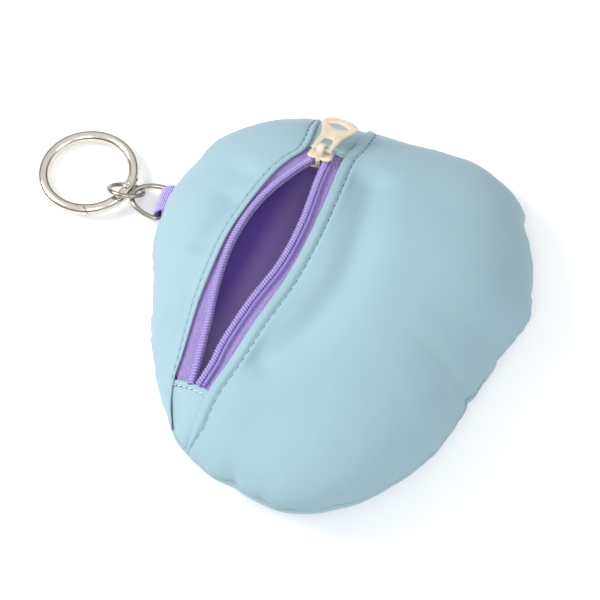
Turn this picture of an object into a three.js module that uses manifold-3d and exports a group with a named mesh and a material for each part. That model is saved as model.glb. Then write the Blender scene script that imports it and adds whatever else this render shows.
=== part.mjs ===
// A round zipped fabric pouch with a spring-gate ring on a short webbing loop.
// Millimetres, +Z up. The pouch lies on its flat underside with the zipped mouth facing up.
// The origin is the middle of the underside. +X runs to the pouch's wide panel, +Y to the slider's
// end of the zipper. "Left" and "right" are as seen from above with +Y away from the viewer.
import * as THREE from 'three';
import Module from 'manifold-3d';
import { mergeVertices } from 'three/addons/utils/BufferGeometryUtils.js';

const wasm = await Module();
wasm.setup();

// Clearances
const gap = 0.3; // between neighbouring pieces
const weld = 1e-4; // points closer than this are one point
const fullTurn = 2 * Math.PI;

// Pouch body. Its outline and seams are given as shares of these two sizes.
const pouchRadius = 70; // about half of its width
const crownHeight = 36; // highest point of the stuffed pouch
// Distance from the middle to the rim seam, as shares of the radius, and the seam's height over the
// table, as shares of the crown's, both at equal angles all the way round from +X towards +Y.
const rimShares = [0.824, 0.911, 0.997, 1.09, 1.071, 1.051, 1.107, 1.179, 1.184, 1.113, 1.029, 0.92,
  0.893, 0.911, 0.957, 1.034, 1.044, 1.067, 0.996, 0.89, 0.807, 0.727, 0.707, 0.726];
const seamShares = [0.25, 0.239, 0.228, 0.222, 0.222, 0.231, 0.244, 0.25, 0.25, 0.258, 0.283, 0.322,
  0.375, 0.428, 0.472, 0.503, 0.514, 0.494, 0.456, 0.397, 0.347, 0.306, 0.278, 0.256];
const crownShoulder = 2.2; // how far out the crown stays high
const crownSteepness = 1.9; // how steeply the crown drops to the rim
const flatShare = 0.5; // part of the radius over which the underside lies flat
const clothThickness = 0.7;
const waddingThickness = 1.6;
const liningThickness = 0.6;
const spokes = 42; // straight facets round the pouch
const crownRings = 7;
const bowlRings = 4;

// Seam lines beside the mouth, in plan, as shares of the radius, from the slider's end to the far
// end. Each has a stretch beside the upper end tab, one along the mouth and one beside the lower tab.
const leftSeam = [
  [[-0.0743, 1.3], [-0.1029, 1.1286], [-0.1657, 0.84]],
  [[-0.1657, 0.84], [-0.3429, 0.6314], [-0.5286, 0.3271],
    [-0.6514, 0.0171], [-0.7343, -0.28], [-0.7757, -0.4071]],
  [[-0.7757, -0.4071], [-0.7914, -0.5143], [-0.7857, -0.6286], [-0.7857, -0.8]],
];
const rightSeam = [
  [[0.2214, 1.2571], [0.1214, 1.0286], [0.0514, 0.8486], [-0.0014, 0.75]],
  [[-0.0014, 0.75], [-0.0914, 0.4629], [-0.1771, 0.2314], [-0.28, 0.0171],
    [-0.41, -0.1857], [-0.5257, -0.3786], [-0.6171, -0.5114]],
  [[-0.6171, -0.5114], [-0.6757, -0.6386], [-0.7071, -0.7243], [-0.7571, -0.8571]],
];
const seamSteps = 5; // straight facets in each stretch, for each point it is given by
const tapeTuck = 5; // tape that runs on under the cloth, beyond the seam
const waddingSetback = 6; // wadding stops this far from the mouth seams
const liningSetback = 1.5;
const farOut = 2.5 * pouchRadius; // well outside the pouch

// Zipper
const tapeThickness = 0.6;
const coilWidth = 2.4;
const coilHeight = 1.5;
const coilProud = 0.6; // coil stands this far over the cloth
const coilFlat = 0.56; // flat top of a coil, as a share of its width
const coilWall = 0.5; // upright sides of a coil, as a share of its height
const coilSteps = 46;
const coilsPart = 1; // the coils begin to part this far behind the slider's middle
const tapeEndTuck = 4; // tape that runs on under each end tab
const tapeTop = coilHeight - coilProud + gap; // depth of the tape's upper face
// Open edges of the two coils, in plan, between the slider and the far end.
const leftCoilEdge = [
  [-0.2171, 0.6557], [-0.3829, 0.48], [-0.5057, 0.2643],
  [-0.57, 0.0586], [-0.61, -0.1557], [-0.6543, -0.3557],
];
const rightCoilEdge = [
  [-0.1443, 0.5886], [-0.2143, 0.3471], [-0.3114, 0.1271],
  [-0.4514, -0.0743], [-0.57, -0.2686], [-0.6157, -0.3643],
];

// Slider and pull
const sliderLength = 6.6;
const sliderWidth = 8.4;
const plateThickness = 0.8;
const postLength = 2;
const postWidth = 1.6;
const postAhead = 2.1; // middle of the post, ahead of the slider's middle
const flangeFront = 0.3;
const flangeRear = -2.2;
const plateSquareness = 2.7; // 2 would be an ellipse
const crownWidth = 2.4; // the crown is the loop on top that holds the pull
const crownLength = 6.2;
const crownRise = 3.7;
const eyeLength = 2.4;
const eyeRise = 2.2;
const eyeFloor = 0.25;
const sliderFacets = 10;
const pullLength = 16.9; // from the hinge line to the rounded end
const pullWidth = 12.6;
const pullThickness = 1.2;
const pullFootWidth = 7.2;
const pullBar = 1.1;
const pullWindowWidth = 3.4;
const pullWindowLength = 5.4;
const pullEyeWidth = 7.6;
const pullEyeLength = 2.9;
const pullHeadRim = 2.6; // metal left beyond the lens-shaped hole
const pullWaist = [0.4, 0.45]; // these four shape the sides, as shares of the length and half-widths
const pullShoulder = [0.7, 0.9];
const pullBulge = [0.92, 1.25];
const pullTip = 0.6;
const pullFacets = 6;
const endGap = 0.45; // between the slider and the end tabs at each end of its travel
const lowerEnd = [-0.6829, -0.4657]; // where the two coils meet at the far end, as shares of the radius
const pathBow = 0.7; // half-way along, the slider's path bows this far to the left
const pathLift = 1.7; // and stands this far over the cloth's own curve

// Webbing loop and rings
const barAngle = THREE.MathUtils.degToRad(139.78); // where the D-ring's bar lies round the pouch
const barStandoff = 1.9; // middle of the bar, out from the rim
const barHeight = 4.3;
const barHeading = THREE.MathUtils.degToRad(164.1); // way out from the pouch, square to the bar
const webbingWidth = 10;
const plyThickness = 0.8;
const webbingSeamRise = 4.9; // the webbing leaves the pouch this far above the bar
const webbingTuck = 5.2;
// The webbing's fall to the bar: a way back from the bar, in bends, and a share of the whole rise.
const webbingFall = [[2, 1], [1, 0.93], [0.4, 0.7]];
const webbingLanding = 0.2; // bends back from the bar where it reaches the wire
const dWire = 1.7;
const dSpan = 12.4; // across the D, between the middles of its arms
const dDepth = 11.2; // bar to apex, between wire middles
const dCorner = 1.7;
const dRise = THREE.MathUtils.degToRad(7); // apex is tipped up by the jump ring
const jumpWire = 1.6;
const jumpRadius = 5.9;
const jumpSplit = 0.4;
const jumpOffset = [-12.82, 5.46, 0.28]; // its middle, from the middle of the bar
const jumpHeading = THREE.MathUtils.degToRad(-12); // level line across the jump ring
const jumpTip = THREE.MathUtils.degToRad(-38.8);
const ringSides = 8;
const eyeSides = 12;
const dFacets = 5;
const jumpSteps = 28;

// Spring-gate ring. Its angles are counted in its own plane, from +X towards +Y.
const claspOffset = [-25.84, 13.73, -1.34]; // its middle, from the middle of the bar
const claspRadius = 15.2; // to the middle of the wire
const claspWire = 3.8;
const claspLean = THREE.MathUtils.degToRad(3.83); // lifted where it lies on the jump ring
const claspLeanHeading = THREE.MathUtils.degToRad(-34);
const rivetAngle = THREE.MathUtils.degToRad(-27);
const forkEnd = THREE.MathUtils.degToRad(-50);
const forkFloor = THREE.MathUtils.degToRad(-12);
const heelAngle = THREE.MathUtils.degToRad(-15);
const gateShoulder = THREE.MathUtils.degToRad(-51.5);
// The closing joint's step runs along the wire's middle between these two angles, and its two end
// faces are slanted so that they clear each other as the gate swings in.
const lipOuter = THREE.MathUtils.degToRad(-94);
const lipInner = THREE.MathUtils.degToRad(-101.5);
const outerSlant = THREE.MathUtils.degToRad(40);
const innerSlant = THREE.MathUtils.degToRad(46);
const tongueThickness = 1.3;
const forkSlot = tongueThickness + 2 * gap;
const cheekHeight = 1.7; // from the middle plane to the flats under the rivet's heads
const rivetRadius = 0.7;
const rivetHeadRadius = 1.35;
const rivetHeadThickness = 0.45;
const claspSides = 12;
const claspSteps = 40;
const gateSteps = 12;
const sectorSteps = 12;

const vector = (x, y, z = 0) => new THREE.Vector3(x, y, z);
const plan = (pair) => new THREE.Vector2(pair[0], pair[1]);
const onPouch = (shares) => plan(shares).multiplyScalar(pouchRadius);

// The pouch's rim, as a closed curve of (radius, seam height) over the angle.
const rimPoints = rimShares.map((share, index) => (
  vector(share * pouchRadius, seamShares[index] * crownHeight)));
const rimCurve = new THREE.CatmullRomCurve3(rimPoints, true, 'catmullrom');
function rimAt(angle) {
  return rimCurve.getPoint(THREE.MathUtils.euclideanModulo(angle / fullTurn, 1));
}

// A point of the top, at a share of the way out to the rim and a depth under the outer face.
function onCrown(angle, share, depth) {
  const rim = rimAt(angle);
  const seam = rim.y + gap / 2;
  const reach = (rim.x - depth) * share;
  const rise = (1 - share ** crownShoulder) ** (1 / crownSteepness);
  const height = seam + (crownHeight - depth - seam) * rise;
  return vector(Math.cos(angle) * reach, Math.sin(angle) * reach, height);
}

// The same for the underside: flat in the middle, then rising to the seam.
function onBowl(angle, share, depth) {
  const rim = rimAt(angle);
  const seam = rim.y - gap / 2;
  const reach = (rim.x - depth) * share;
  const rounding = Math.max(0, (share - flatShare) / (1 - flatShare));
  const rise = 1 - Math.sqrt(Math.max(0, 1 - rounding ** 2));
  return vector(Math.cos(angle) * reach, Math.sin(angle) * reach, depth + (seam - depth) * rise);
}

// The point of the top over a place in plan.
function overPlan(place, depth) {
  const angle = Math.atan2(place.y, place.x);
  const share = Math.min(place.length() / (rimAt(angle).x - depth), 1);
  return onCrown(angle, share, depth);
}

function normalOver(place) {
  const step = 0.5;
  const middle = overPlan(place, 0);
  const east = overPlan(place.clone().add(plan([step, 0])), 0).sub(middle);
  const north = overPlan(place.clone().add(plan([0, step])), 0).sub(middle);
  return east.cross(north).normalize();
}

function geometryOf(points, triangles) {
  const geometry = new THREE.BufferGeometry();
  const positions = points.flatMap((point) => point.toArray());
  geometry.setAttribute('position', new THREE.Float32BufferAttribute(positions, 3));
  geometry.setIndex(triangles.flat());
  return geometry;
}

// A closed geometry as a solid that can be cut and joined, and back again.
function toSolid(geometry) {
  const bare = geometry.clone();
  bare.deleteAttribute('normal');
  bare.deleteAttribute('uv');
  const merged = mergeVertices(bare, weld);
  return new wasm.Manifold(new wasm.Mesh({
    numProp: 3,
    vertProperties: new Float32Array(merged.getAttribute('position').array),
    triVerts: new Uint32Array(merged.getIndex().array),
  }));
}

function toGeometry(solid) {
  const mesh = solid.getMesh();
  const geometry = new THREE.BufferGeometry();
  geometry.setAttribute('position', new THREE.BufferAttribute(mesh.vertProperties, 3));
  geometry.setIndex(new THREE.BufferAttribute(mesh.triVerts, 1));
  return geometry;
}

// One curved sheet between two depths. Its two faces share the same spokes and rings.
function sheetBetween(pointAt, shares, outerDepth, innerDepth, facesUp) {
  const points = [];
  for (const depth of [outerDepth, innerDepth]) {
    points.push(pointAt(0, 0, depth));
    for (const share of shares) {
      for (let spoke = 0; spoke < spokes; spoke += 1) {
        points.push(pointAt((spoke * fullTurn) / spokes, share, depth));
      }
    }
  }
  const faceSize = 1 + shares.length * spokes;
  const index = (face, ring, spoke) => face * faceSize + 1 + ring * spokes + (spoke % spokes);
  const triangles = [];
  const add = (a, b, c, turned) => triangles.push(turned ? [a, c, b] : [a, b, c]);
  for (let face = 0; face < 2; face += 1) {
    const turned = (face === 1) === facesUp;
    for (let spoke = 0; spoke < spokes; spoke += 1) {
      add(face * faceSize, index(face, 0, spoke), index(face, 0, spoke + 1), turned);
      for (let ring = 0; ring < shares.length - 1; ring += 1) {
        const corners = [index(face, ring, spoke), index(face, ring + 1, spoke)];
        const next = [index(face, ring, spoke + 1), index(face, ring + 1, spoke + 1)];
        add(corners[0], corners[1], next[1], turned);
        add(corners[0], next[1], next[0], turned);
      }
    }
  }
  const last = shares.length - 1;
  for (let spoke = 0; spoke < spokes; spoke += 1) {
    add(index(0, last, spoke + 1), index(0, last, spoke), index(1, last, spoke), !facesUp);
    add(index(0, last, spoke + 1), index(1, last, spoke), index(1, last, spoke + 1), !facesUp);
  }
  return toSolid(geometryOf(points, triangles));
}

// Rings lie closer together towards the rim, where the cloth turns over.
function easedRings(count) {
  return Array.from({ length: count }, (_, ring) => Math.sin(((ring + 1) / count) * (Math.PI / 2)));
}
const crownShares = easedRings(crownRings);
const pastFlat = (share) => flatShare + (1 - flatShare) * share;
const bowlShares = [flatShare, ...easedRings(bowlRings).map(pastFlat)];
const crownSheet = (outer, inner) => sheetBetween(onCrown, crownShares, outer, inner, true);
const bowlSheet = (outer, inner) => sheetBetween(onBowl, bowlShares, outer, inner, false);

// Lines in plan
function splinePoints(pairs) {
  return new THREE.SplineCurve(pairs.map(onPouch)).getPoints((pairs.length - 1) * seamSteps);
}

// A line moved sideways. Positive is to the right of the pouch, since the lines run towards -Y.
function beside(line, distance) {
  return line.map((point, index) => {
    const before = line[Math.max(index - 1, 0)];
    const after = line[Math.min(index + 1, line.length - 1)];
    const along = after.clone().sub(before).normalize();
    return plan([point.x - along.y * distance, point.y + along.x * distance]);
  });
}

// A line drawn on straight past both of its ends.
function lengthened(line, extra) {
  const grow = (end, inner) => end.clone().add(end.clone().sub(inner).setLength(extra));
  return [grow(line[0], line[1]), ...line, grow(line.at(-1), line.at(-2))];
}

function prism(outline, bottom, top) {
  const shape = new THREE.Shape(outline);
  const geometry = new THREE.ExtrudeGeometry(shape, { depth: top - bottom, bevelEnabled: false });
  geometry.translate(0, 0, bottom);
  return toSolid(geometry);
}

const tall = (outline) => prism(outline, -gap, crownHeight + coilHeight);
const wholeSeam = (stretches) => stretches.flatMap((stretch, index) => (
  splinePoints(stretch).slice(index ? 1 : 0)));
const leftLine = wholeSeam(leftSeam);
const rightLine = wholeSeam(rightSeam);

// Everything on one side of a line across the pouch: side is 1 for the right and -1 for the left.
function oneSide(line, side) {
  const out = (point) => point.clone().multiplyScalar(2);
  const corners = [plan([side * farOut, -farOut]), plan([side * farOut, farOut])];
  return [...line, out(line.at(-1)), ...corners, out(line[0])];
}

const tabOutline = (left, right) => [
  ...beside(splinePoints(left), gap / 2),
  ...beside(splinePoints(right), -gap / 2).reverse(),
];

// A closed body drawn through stations of { middle, side, up }, with an outline of (side, up) pairs.
function sweep(stations, outline, joined) {
  const size = outline.length;
  const points = stations.flatMap(({ middle, side, up }) => outline.map(([across, over]) => (
    middle.clone().addScaledVector(side, across).addScaledVector(up, over))));
  const triangles = [];
  const spans = joined ? stations.length : stations.length - 1;
  for (let span = 0; span < spans; span += 1) {
    const here = span * size;
    const next = ((span + 1) % stations.length) * size;
    for (let corner = 0; corner < size; corner += 1) {
      const after = (corner + 1) % size;
      triangles.push([here + corner, here + after, next + after]);
      triangles.push([here + corner, next + after, next + corner]);
    }
  }
  const last = (stations.length - 1) * size;
  for (let corner = 1; corner < size - 1 && !joined; corner += 1) {
    triangles.push([0, corner + 1, corner]);
    triangles.push([last, last + corner, last + corner + 1]);
  }
  return geometryOf(points, triangles);
}

// Stations along a row of points, square to it, with the given way up at each point.
function stationsAlong(points, upAt, joined) {
  const count = points.length;
  const nearby = (at) => points[joined ? (at + count) % count : THREE.MathUtils.clamp(at, 0, count - 1)];
  return points.map((middle, index) => {
    const along = nearby(index + 1).clone().sub(nearby(index - 1)).normalize();
    const side = upAt(index).clone().cross(along).normalize();
    return { middle, side, up: along.clone().cross(side) };
  });
}

const upright = vector(0, 0, 1);
function roundOutline(radius, sides) {
  return Array.from({ length: sides }, (_, corner) => {
    const angle = ((corner + 0.5) * fullTurn) / sides;
    return [Math.cos(angle) * radius, Math.sin(angle) * radius];
  });
}

// A length of round wire bent to part of a flat ring.
function wireArc(ringRadius, wireRadius, from, to, steps, sides) {
  const points = Array.from({ length: steps + 1 }, (_, step) => {
    const angle = from + ((to - from) * step) / steps;
    return vector(Math.cos(angle) * ringRadius, Math.sin(angle) * ringRadius);
  });
  return sweep(stationsAlong(points, () => upright, false), roundOutline(wireRadius, sides), false);
}

// A piece of a flat ring's plane between two radii and two angles, as a block.
function sector(inner, outer, from, to, bottom, top) {
  const path = new THREE.Path().absarc(0, 0, outer, from, to, false);
  const back = new THREE.Path().absarc(0, 0, inner, to, from, true);
  return prism([...path.getPoints(sectorSteps), ...back.getPoints(sectorSteps)], bottom, top);
}

const group = new THREE.Group();
group.name = 'zipped_pouch';

function material(color, roughness, metalness = 0) {
  return new THREE.MeshStandardMaterial({ color, roughness, metalness });
}

const looks = {
  cloth: [0xaccbda, 0.85],
  wadding: [0xf2f0ea, 0.95],
  lining: [0x4b377d, 0.9],
  tape: [0xa08ccd, 0.9],
  coil: [0xb0a0d7, 0.5],
  webbing: [0x9678e1, 0.85],
  paint: [0xebded0, 0.4, 0.2],
  metal: [0xbeb6ac, 0.3, 1],
};

function addPiece(name, shape, look, holder = group) {
  const geometry = shape.isBufferGeometry ? shape : toGeometry(shape);
  const mesh = new THREE.Mesh(geometry, material(...looks[look]));
  mesh.name = name;
  holder.add(mesh);
  return mesh;
}

// The webbing loop seen from its side: x is the way out from the bar, y is up from the bar.
const eyeRadius = dWire / 2 + gap;
const strapBend = 2 * plyThickness;
function strapOutline(halfThickness, tuck) {
  const middle = [
    [-tuck, webbingSeamRise],
    ...webbingFall.map(([bends, share]) => [-bends * strapBend, webbingSeamRise * share]),
    [-webbingLanding * strapBend, eyeRadius],
  ].map(plan);
  return [...beside(middle, halfThickness), ...beside(middle, -halfThickness).reverse()];
}
const disc = (radius) => roundOutline(radius, eyeSides).map(plan);
const across = (outline, halfWidth) => prism(outline, -halfWidth, halfWidth);
const strap = across(strapOutline(plyThickness, webbingTuck), webbingWidth / 2)
  .add(across(disc(eyeRadius + plyThickness), webbingWidth / 2))
  .subtract(across(disc(eyeRadius), webbingWidth));
const strapSlot = across(strapOutline(plyThickness + gap, webbingTuck + gap), webbingWidth / 2 + gap);

// Stands a side view upright, so that its thickness runs along the bar.
const barReach = rimAt(barAngle).x + barStandoff;
const barMiddle = [Math.cos(barAngle) * barReach, Math.sin(barAngle) * barReach, barHeight];
const barFrame = new THREE.Matrix4().makeTranslation(...barMiddle)
  .multiply(new THREE.Matrix4().makeRotationZ(barHeading))
  .multiply(new THREE.Matrix4().makeRotationX(Math.PI / 2));
const inBarFrame = (solid) => toSolid(toGeometry(solid).applyMatrix4(barFrame));
const slot = inBarFrame(strapSlot);

// Cloth: the underside, the wide panel, the side panel, and a tab over each end of the zipper.
const clothTop = crownSheet(0, clothThickness).subtract(slot);
const wideRegion = (setback) => tall(oneSide(beside(rightLine, setback), 1));
const sideRegion = (setback) => tall(oneSide(beside(leftLine, -setback), -1));
addPiece('shell_underside', bowlSheet(0, clothThickness).subtract(slot), 'cloth');
addPiece('shell_wide_panel', clothTop.intersect(wideRegion(gap / 2)), 'cloth');
addPiece('shell_side_panel', clothTop.intersect(sideRegion(gap / 2)), 'cloth');
addPiece('end_tab_upper', clothTop.intersect(tall(tabOutline(leftSeam[0], rightSeam[0]))), 'cloth');
addPiece('end_tab_lower', clothTop.intersect(tall(tabOutline(leftSeam[2], rightSeam[2]))), 'cloth');

// Wadding under each panel, held back from the zipper.
const waddingOuter = clothThickness + gap;
const waddingInner = waddingOuter + waddingThickness;
const waddingTop = crownSheet(waddingOuter, waddingInner).subtract(slot);
addPiece('wadding_underside', bowlSheet(waddingOuter, waddingInner).subtract(slot), 'wadding');
addPiece('wadding_wide_panel', waddingTop.intersect(wideRegion(waddingSetback)), 'wadding');
addPiece('wadding_side_panel', waddingTop.intersect(sideRegion(waddingSetback)), 'wadding');

// Lining inside the wadding, open all along the mouth.
const liningOuter = waddingInner + gap;
const liningInner = liningOuter + liningThickness;
const mouthLines = [
  lengthened(beside(splinePoints(leftSeam[1]), -liningSetback), liningSetback),
  lengthened(beside(splinePoints(rightSeam[1]), liningSetback), liningSetback).reverse(),
];
const liningTop = crownSheet(liningOuter, liningInner).subtract(slot);
addPiece('lining_underside', bowlSheet(liningOuter, liningInner).subtract(slot), 'lining');
addPiece('lining_top', liningTop.subtract(tall(mouthLines.flat())), 'lining');

// The slider's way along the mouth: a circle through its two ends and the middle of the path.
const upperEdge = [onPouch(leftSeam[1][0]), onPouch(rightSeam[1][0])];
const upperMeet = upperEdge[0].clone().add(upperEdge[1]).multiplyScalar(0.5);
const lowerMeet = onPouch(lowerEnd);
const mouthRun = lowerMeet.clone().sub(upperMeet);
const sliderInset = sliderLength / 2 + endGap;
const restPlace = upperMeet.clone().add(mouthRun.clone().setLength(sliderInset));
const stopPlace = lowerMeet.clone().sub(mouthRun.clone().setLength(sliderInset));
const toRight = plan([-mouthRun.y, mouthRun.x]).normalize();
const bowedPlace = restPlace.clone().add(stopPlace).multiplyScalar(0.5).addScaledVector(toRight, -pathBow);
const restPoint = overPlan(restPlace, 0);
const bowedPoint = overPlan(bowedPlace, 0);
const stopPoint = overPlan(stopPlace, 0);
bowedPoint.z += pathLift;
const toBowed = bowedPoint.clone().sub(restPoint);
const toStop = stopPoint.clone().sub(restPoint);
const pathAxle = toBowed.clone().cross(toStop);
const pathCentre = restPoint.clone().add(
  pathAxle.clone().cross(toBowed).multiplyScalar(toStop.lengthSq())
    .add(toStop.clone().cross(pathAxle).multiplyScalar(toBowed.lengthSq()))
    .divideScalar(2 * pathAxle.lengthSq()),
);
const sliderUp = restPoint.clone().sub(pathCentre).normalize();
const sliderAcross = sliderUp.clone().cross(toStop).normalize();
const sliderAhead = sliderAcross.clone().cross(sliderUp);

// Open edges of the coils: side by side behind the slider's post, apart round it, then along the mouth.
const nearSlider = (ahead, aside) => restPlace.clone()
  .addScaledVector(mouthRun.clone().normalize(), ahead).addScaledVector(toRight, aside);
const nearStop = (ahead, aside) => lowerMeet.clone()
  .addScaledVector(mouthRun.clone().normalize(), ahead).addScaledVector(toRight, aside);
function coilEdge(middlePairs, side) {
  const touch = (side * gap) / 2;
  return new THREE.SplineCurve([
    nearSlider(gap - sliderInset, touch),
    nearSlider(-coilsPart, touch),
    nearSlider(postAhead, side * (postWidth / 2 + gap)),
    ...middlePairs.map(onPouch),
    nearStop(-gap, touch),
  ]).getSpacedPoints(coilSteps);
}

const coilOutline = [
  [1, -coilWall], [1, coilWall], [coilFlat, 1], [-coilFlat, 1],
  [-1, coilWall], [-1, -coilWall], [-coilFlat, -1], [coilFlat, -1],
].map(([width, height]) => [(width * coilWidth) / 2, (height * coilHeight) / 2]);

// A coil rides on its tape, half sunk below the cloth's outer face.
function coil(edge, side) {
  const middles = beside(edge, (side * coilWidth) / 2);
  const points = middles.map((place) => (
    overPlan(place, 0).addScaledVector(normalOver(place), coilProud - coilHeight / 2)));
  return sweep(stationsAlong(points, (index) => normalOver(middles[index]), false), coilOutline, false);
}

// A tape runs under the cloth, out into the mouth and under its coil.
const tapeSheet = crownSheet(tapeTop, tapeTop + tapeThickness);
function tape(seam, edge, side) {
  const hidden = lengthened(beside(splinePoints(seam), side * tapeTuck), tapeEndTuck);
  const aside = side * (gap / 2 + gap);
  const open = [
    nearSlider(-sliderInset - tapeEndTuck, aside),
    ...beside(edge, side * gap),
    nearStop(tapeEndTuck, aside),
  ];
  return tapeSheet.intersect(tall([...hidden, ...open.reverse()]));
}

const zipperSides = [
  ['left', leftSeam[1], leftCoilEdge, -1],
  ['right', rightSeam[1], rightCoilEdge, 1],
];
for (const [name, seam, pairs, side] of zipperSides) {
  const edge = coilEdge(pairs, side);
  addPiece(`zipper_tape_${name}`, tape(seam, edge, side), 'tape');
  addPiece(`zipper_coil_${name}`, coil(edge, side), 'coil');
}

// The slider turns about the middle of its path, so it hangs from a pivot there.
const sliderPath = new THREE.Group();
sliderPath.name = 'slider_path';
sliderPath.position.copy(pathCentre);
sliderPath.quaternion.setFromRotationMatrix(
  new THREE.Matrix4().makeBasis(sliderAhead, sliderAcross, sliderUp));
sliderPath.userData.travel = restPoint.clone().sub(pathCentre).angleTo(stopPoint.clone().sub(pathCentre));
group.add(sliderPath);

// Slider, in its own frame: x ahead along the mouth, z out of the cloth, z = 0 at the outer face.
const slider = new THREE.Group();
slider.name = 'slider_frame';
slider.position.z = restPoint.distanceTo(pathCentre);
sliderPath.add(slider);
const upperPlate = coilProud + gap;
const plateTop = upperPlate + plateThickness;
const lowerPlate = -(tapeTop + tapeThickness + gap);
const plateOutline = roundOutline(1, 2 * sliderFacets).map(([ahead, aside]) => {
  const bulged = (value) => Math.sign(value) * Math.abs(value) ** (2 / plateSquareness);
  return plan([(bulged(ahead) * sliderLength) / 2, (bulged(aside) * sliderWidth) / 2]);
});
const block = (left, right, halfWidth, bottom, top) => prism([
  plan([left, -halfWidth]), plan([right, -halfWidth]), plan([right, halfWidth]), plan([left, halfWidth]),
], bottom, top);
const channelHalf = gap / 2 + coilWidth + 2 * gap;
const flanges = prism(plateOutline, gap - tapeTop, plateTop)
  .intersect(block(flangeRear, flangeFront, sliderWidth, gap - tapeTop, plateTop))
  .subtract(block(-sliderLength, sliderLength, channelHalf, -coilHeight, upperPlate));
const postOutline = [[postLength / 2, 0], [0, postWidth / 2], [-postLength / 2, 0], [0, -postWidth / 2]]
  .map(([ahead, aside]) => plan([postAhead + ahead, aside]));
const crownOutline = new THREE.Path().absellipse(0, 0, crownLength / 2, crownRise, 0, Math.PI)
  .getPoints(sliderFacets);
const eyeOutline = [[-1, 0], [1, 0], [1, 1], [-1, 1]]
  .map(([ahead, over]) => plan([(ahead * eyeLength) / 2, eyeFloor + over * eyeRise]));
const standing = (outline, halfWidth) => toSolid(toGeometry(across(outline, halfWidth))
  .rotateX(Math.PI / 2).translate(0, 0, plateTop));
const crownLoop = standing([...crownOutline, plan([-crownLength / 2, -plateThickness / 2]),
  plan([crownLength / 2, -plateThickness / 2])], crownWidth / 2)
  .subtract(standing(eyeOutline, crownWidth));
addPiece('zipper_slider', prism(plateOutline, upperPlate, plateTop)
  .add(prism(plateOutline, lowerPlate - plateThickness, lowerPlate))
  .add(prism(postOutline, lowerPlate - plateThickness / 2, plateTop - plateThickness / 2))
  .add(flanges)
  .add(crownLoop), 'paint', slider);

// Pull: a flat plate that lies back from the slider, with its end bar through the crown's eye.
const pull = new THREE.Group();
pull.name = 'pull_frame';
pull.position.set(0, 0, plateTop + eyeFloor + eyeRise / 2);
pull.rotation.z = Math.PI;
slider.add(pull);
const pullShape = new THREE.Shape();
const footHalf = pullFootWidth / 2;
const headHalf = pullWidth / 2;
const tipHalf = headHalf * pullTip;
const waist = pullWaist.map((share) => share * pullLength);
const onHead = ([length, width]) => plan([length * pullLength, width * headHalf]);
const shoulder = onHead(pullShoulder);
const bulge = onHead(pullBulge);
pullShape.moveTo(-pullBar / 2, -footHalf);
pullShape.lineTo(-pullBar / 2, footHalf);
pullShape.bezierCurveTo(waist[0], footHalf, waist[1], footHalf, shoulder.x, shoulder.y);
pullShape.bezierCurveTo(bulge.x, bulge.y, pullLength, tipHalf, pullLength, 0);
pullShape.bezierCurveTo(pullLength, -tipHalf, bulge.x, -bulge.y, shoulder.x, -shoulder.y);
pullShape.bezierCurveTo(waist[1], -footHalf, waist[0], -footHalf, -pullBar / 2, -footHalf);
const windowHalf = pullWindowWidth / 2;
const windowEnd = pullBar / 2 + pullWindowLength;
const pullWindow = new THREE.Path([
  [pullBar / 2, -windowHalf], [windowEnd, -windowHalf], [windowEnd, windowHalf], [pullBar / 2, windowHalf],
].map(plan));
const lens = new THREE.Path();
const lensMiddle = pullLength - pullHeadRim - pullEyeLength / 2;
lens.moveTo(lensMiddle, -pullEyeWidth / 2);
lens.quadraticCurveTo(lensMiddle + pullEyeLength, 0, lensMiddle, pullEyeWidth / 2);
lens.quadraticCurveTo(lensMiddle - pullEyeLength, 0, lensMiddle, -pullEyeWidth / 2);
pullShape.holes.push(pullWindow, lens);
const pullPlate = new THREE.ExtrudeGeometry(pullShape, {
  depth: pullThickness, bevelEnabled: false, curveSegments: pullFacets,
});
pullPlate.translate(0, 0, -pullThickness / 2);
addPiece('pull_tab', pullPlate, 'paint', pull);

// Webbing loop, and the D-ring whose straight bar lies in it.
addPiece('webbing_loop', inBarFrame(strap), 'webbing');
const dRing = new THREE.Group();
dRing.name = 'd_ring_frame';
dRing.position.set(...barMiddle);
dRing.rotation.set(0, -dRise, barHeading, 'ZYX');
group.add(dRing);
const dHalf = dSpan / 2;
const dPath = new THREE.Path();
dPath.moveTo(0, 0);
dPath.lineTo(0, dHalf - dCorner);
dPath.absarc(dCorner, dHalf - dCorner, dCorner, Math.PI, Math.PI / 2, true);
dPath.absellipse(dCorner, 0, dDepth - dCorner, dHalf, Math.PI / 2, -Math.PI / 2, true);
dPath.absarc(dCorner, dCorner - dHalf, dCorner, -Math.PI / 2, -Math.PI, true);
const dPoints = dPath.getPoints(dFacets).map((point) => vector(point.x, point.y))
  .filter((point, index, all) => index === 0 || point.distanceTo(all[index - 1]) > weld);
const dStations = stationsAlong(dPoints, () => upright, true);
addPiece('d_ring', sweep(dStations, roundOutline(dWire / 2, ringSides), true), 'metal', dRing);

// Jump ring: a bent wire whose two ends nearly meet, joining the D-ring to the spring-gate ring.
const jumpRing = new THREE.Group();
jumpRing.name = 'jump_ring_frame';
jumpRing.position.set(...barMiddle).add(vector(...jumpOffset));
jumpRing.rotation.set(jumpTip, 0, jumpHeading, 'ZYX');
group.add(jumpRing);
const splitAngle = Math.PI / 2;
const splitHalf = jumpSplit / jumpRadius / 2;
addPiece('jump_ring', wireArc(jumpRadius, jumpWire / 2, splitAngle + splitHalf,
  splitAngle + fullTurn - splitHalf, jumpSteps, ringSides), 'metal', jumpRing);

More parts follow.
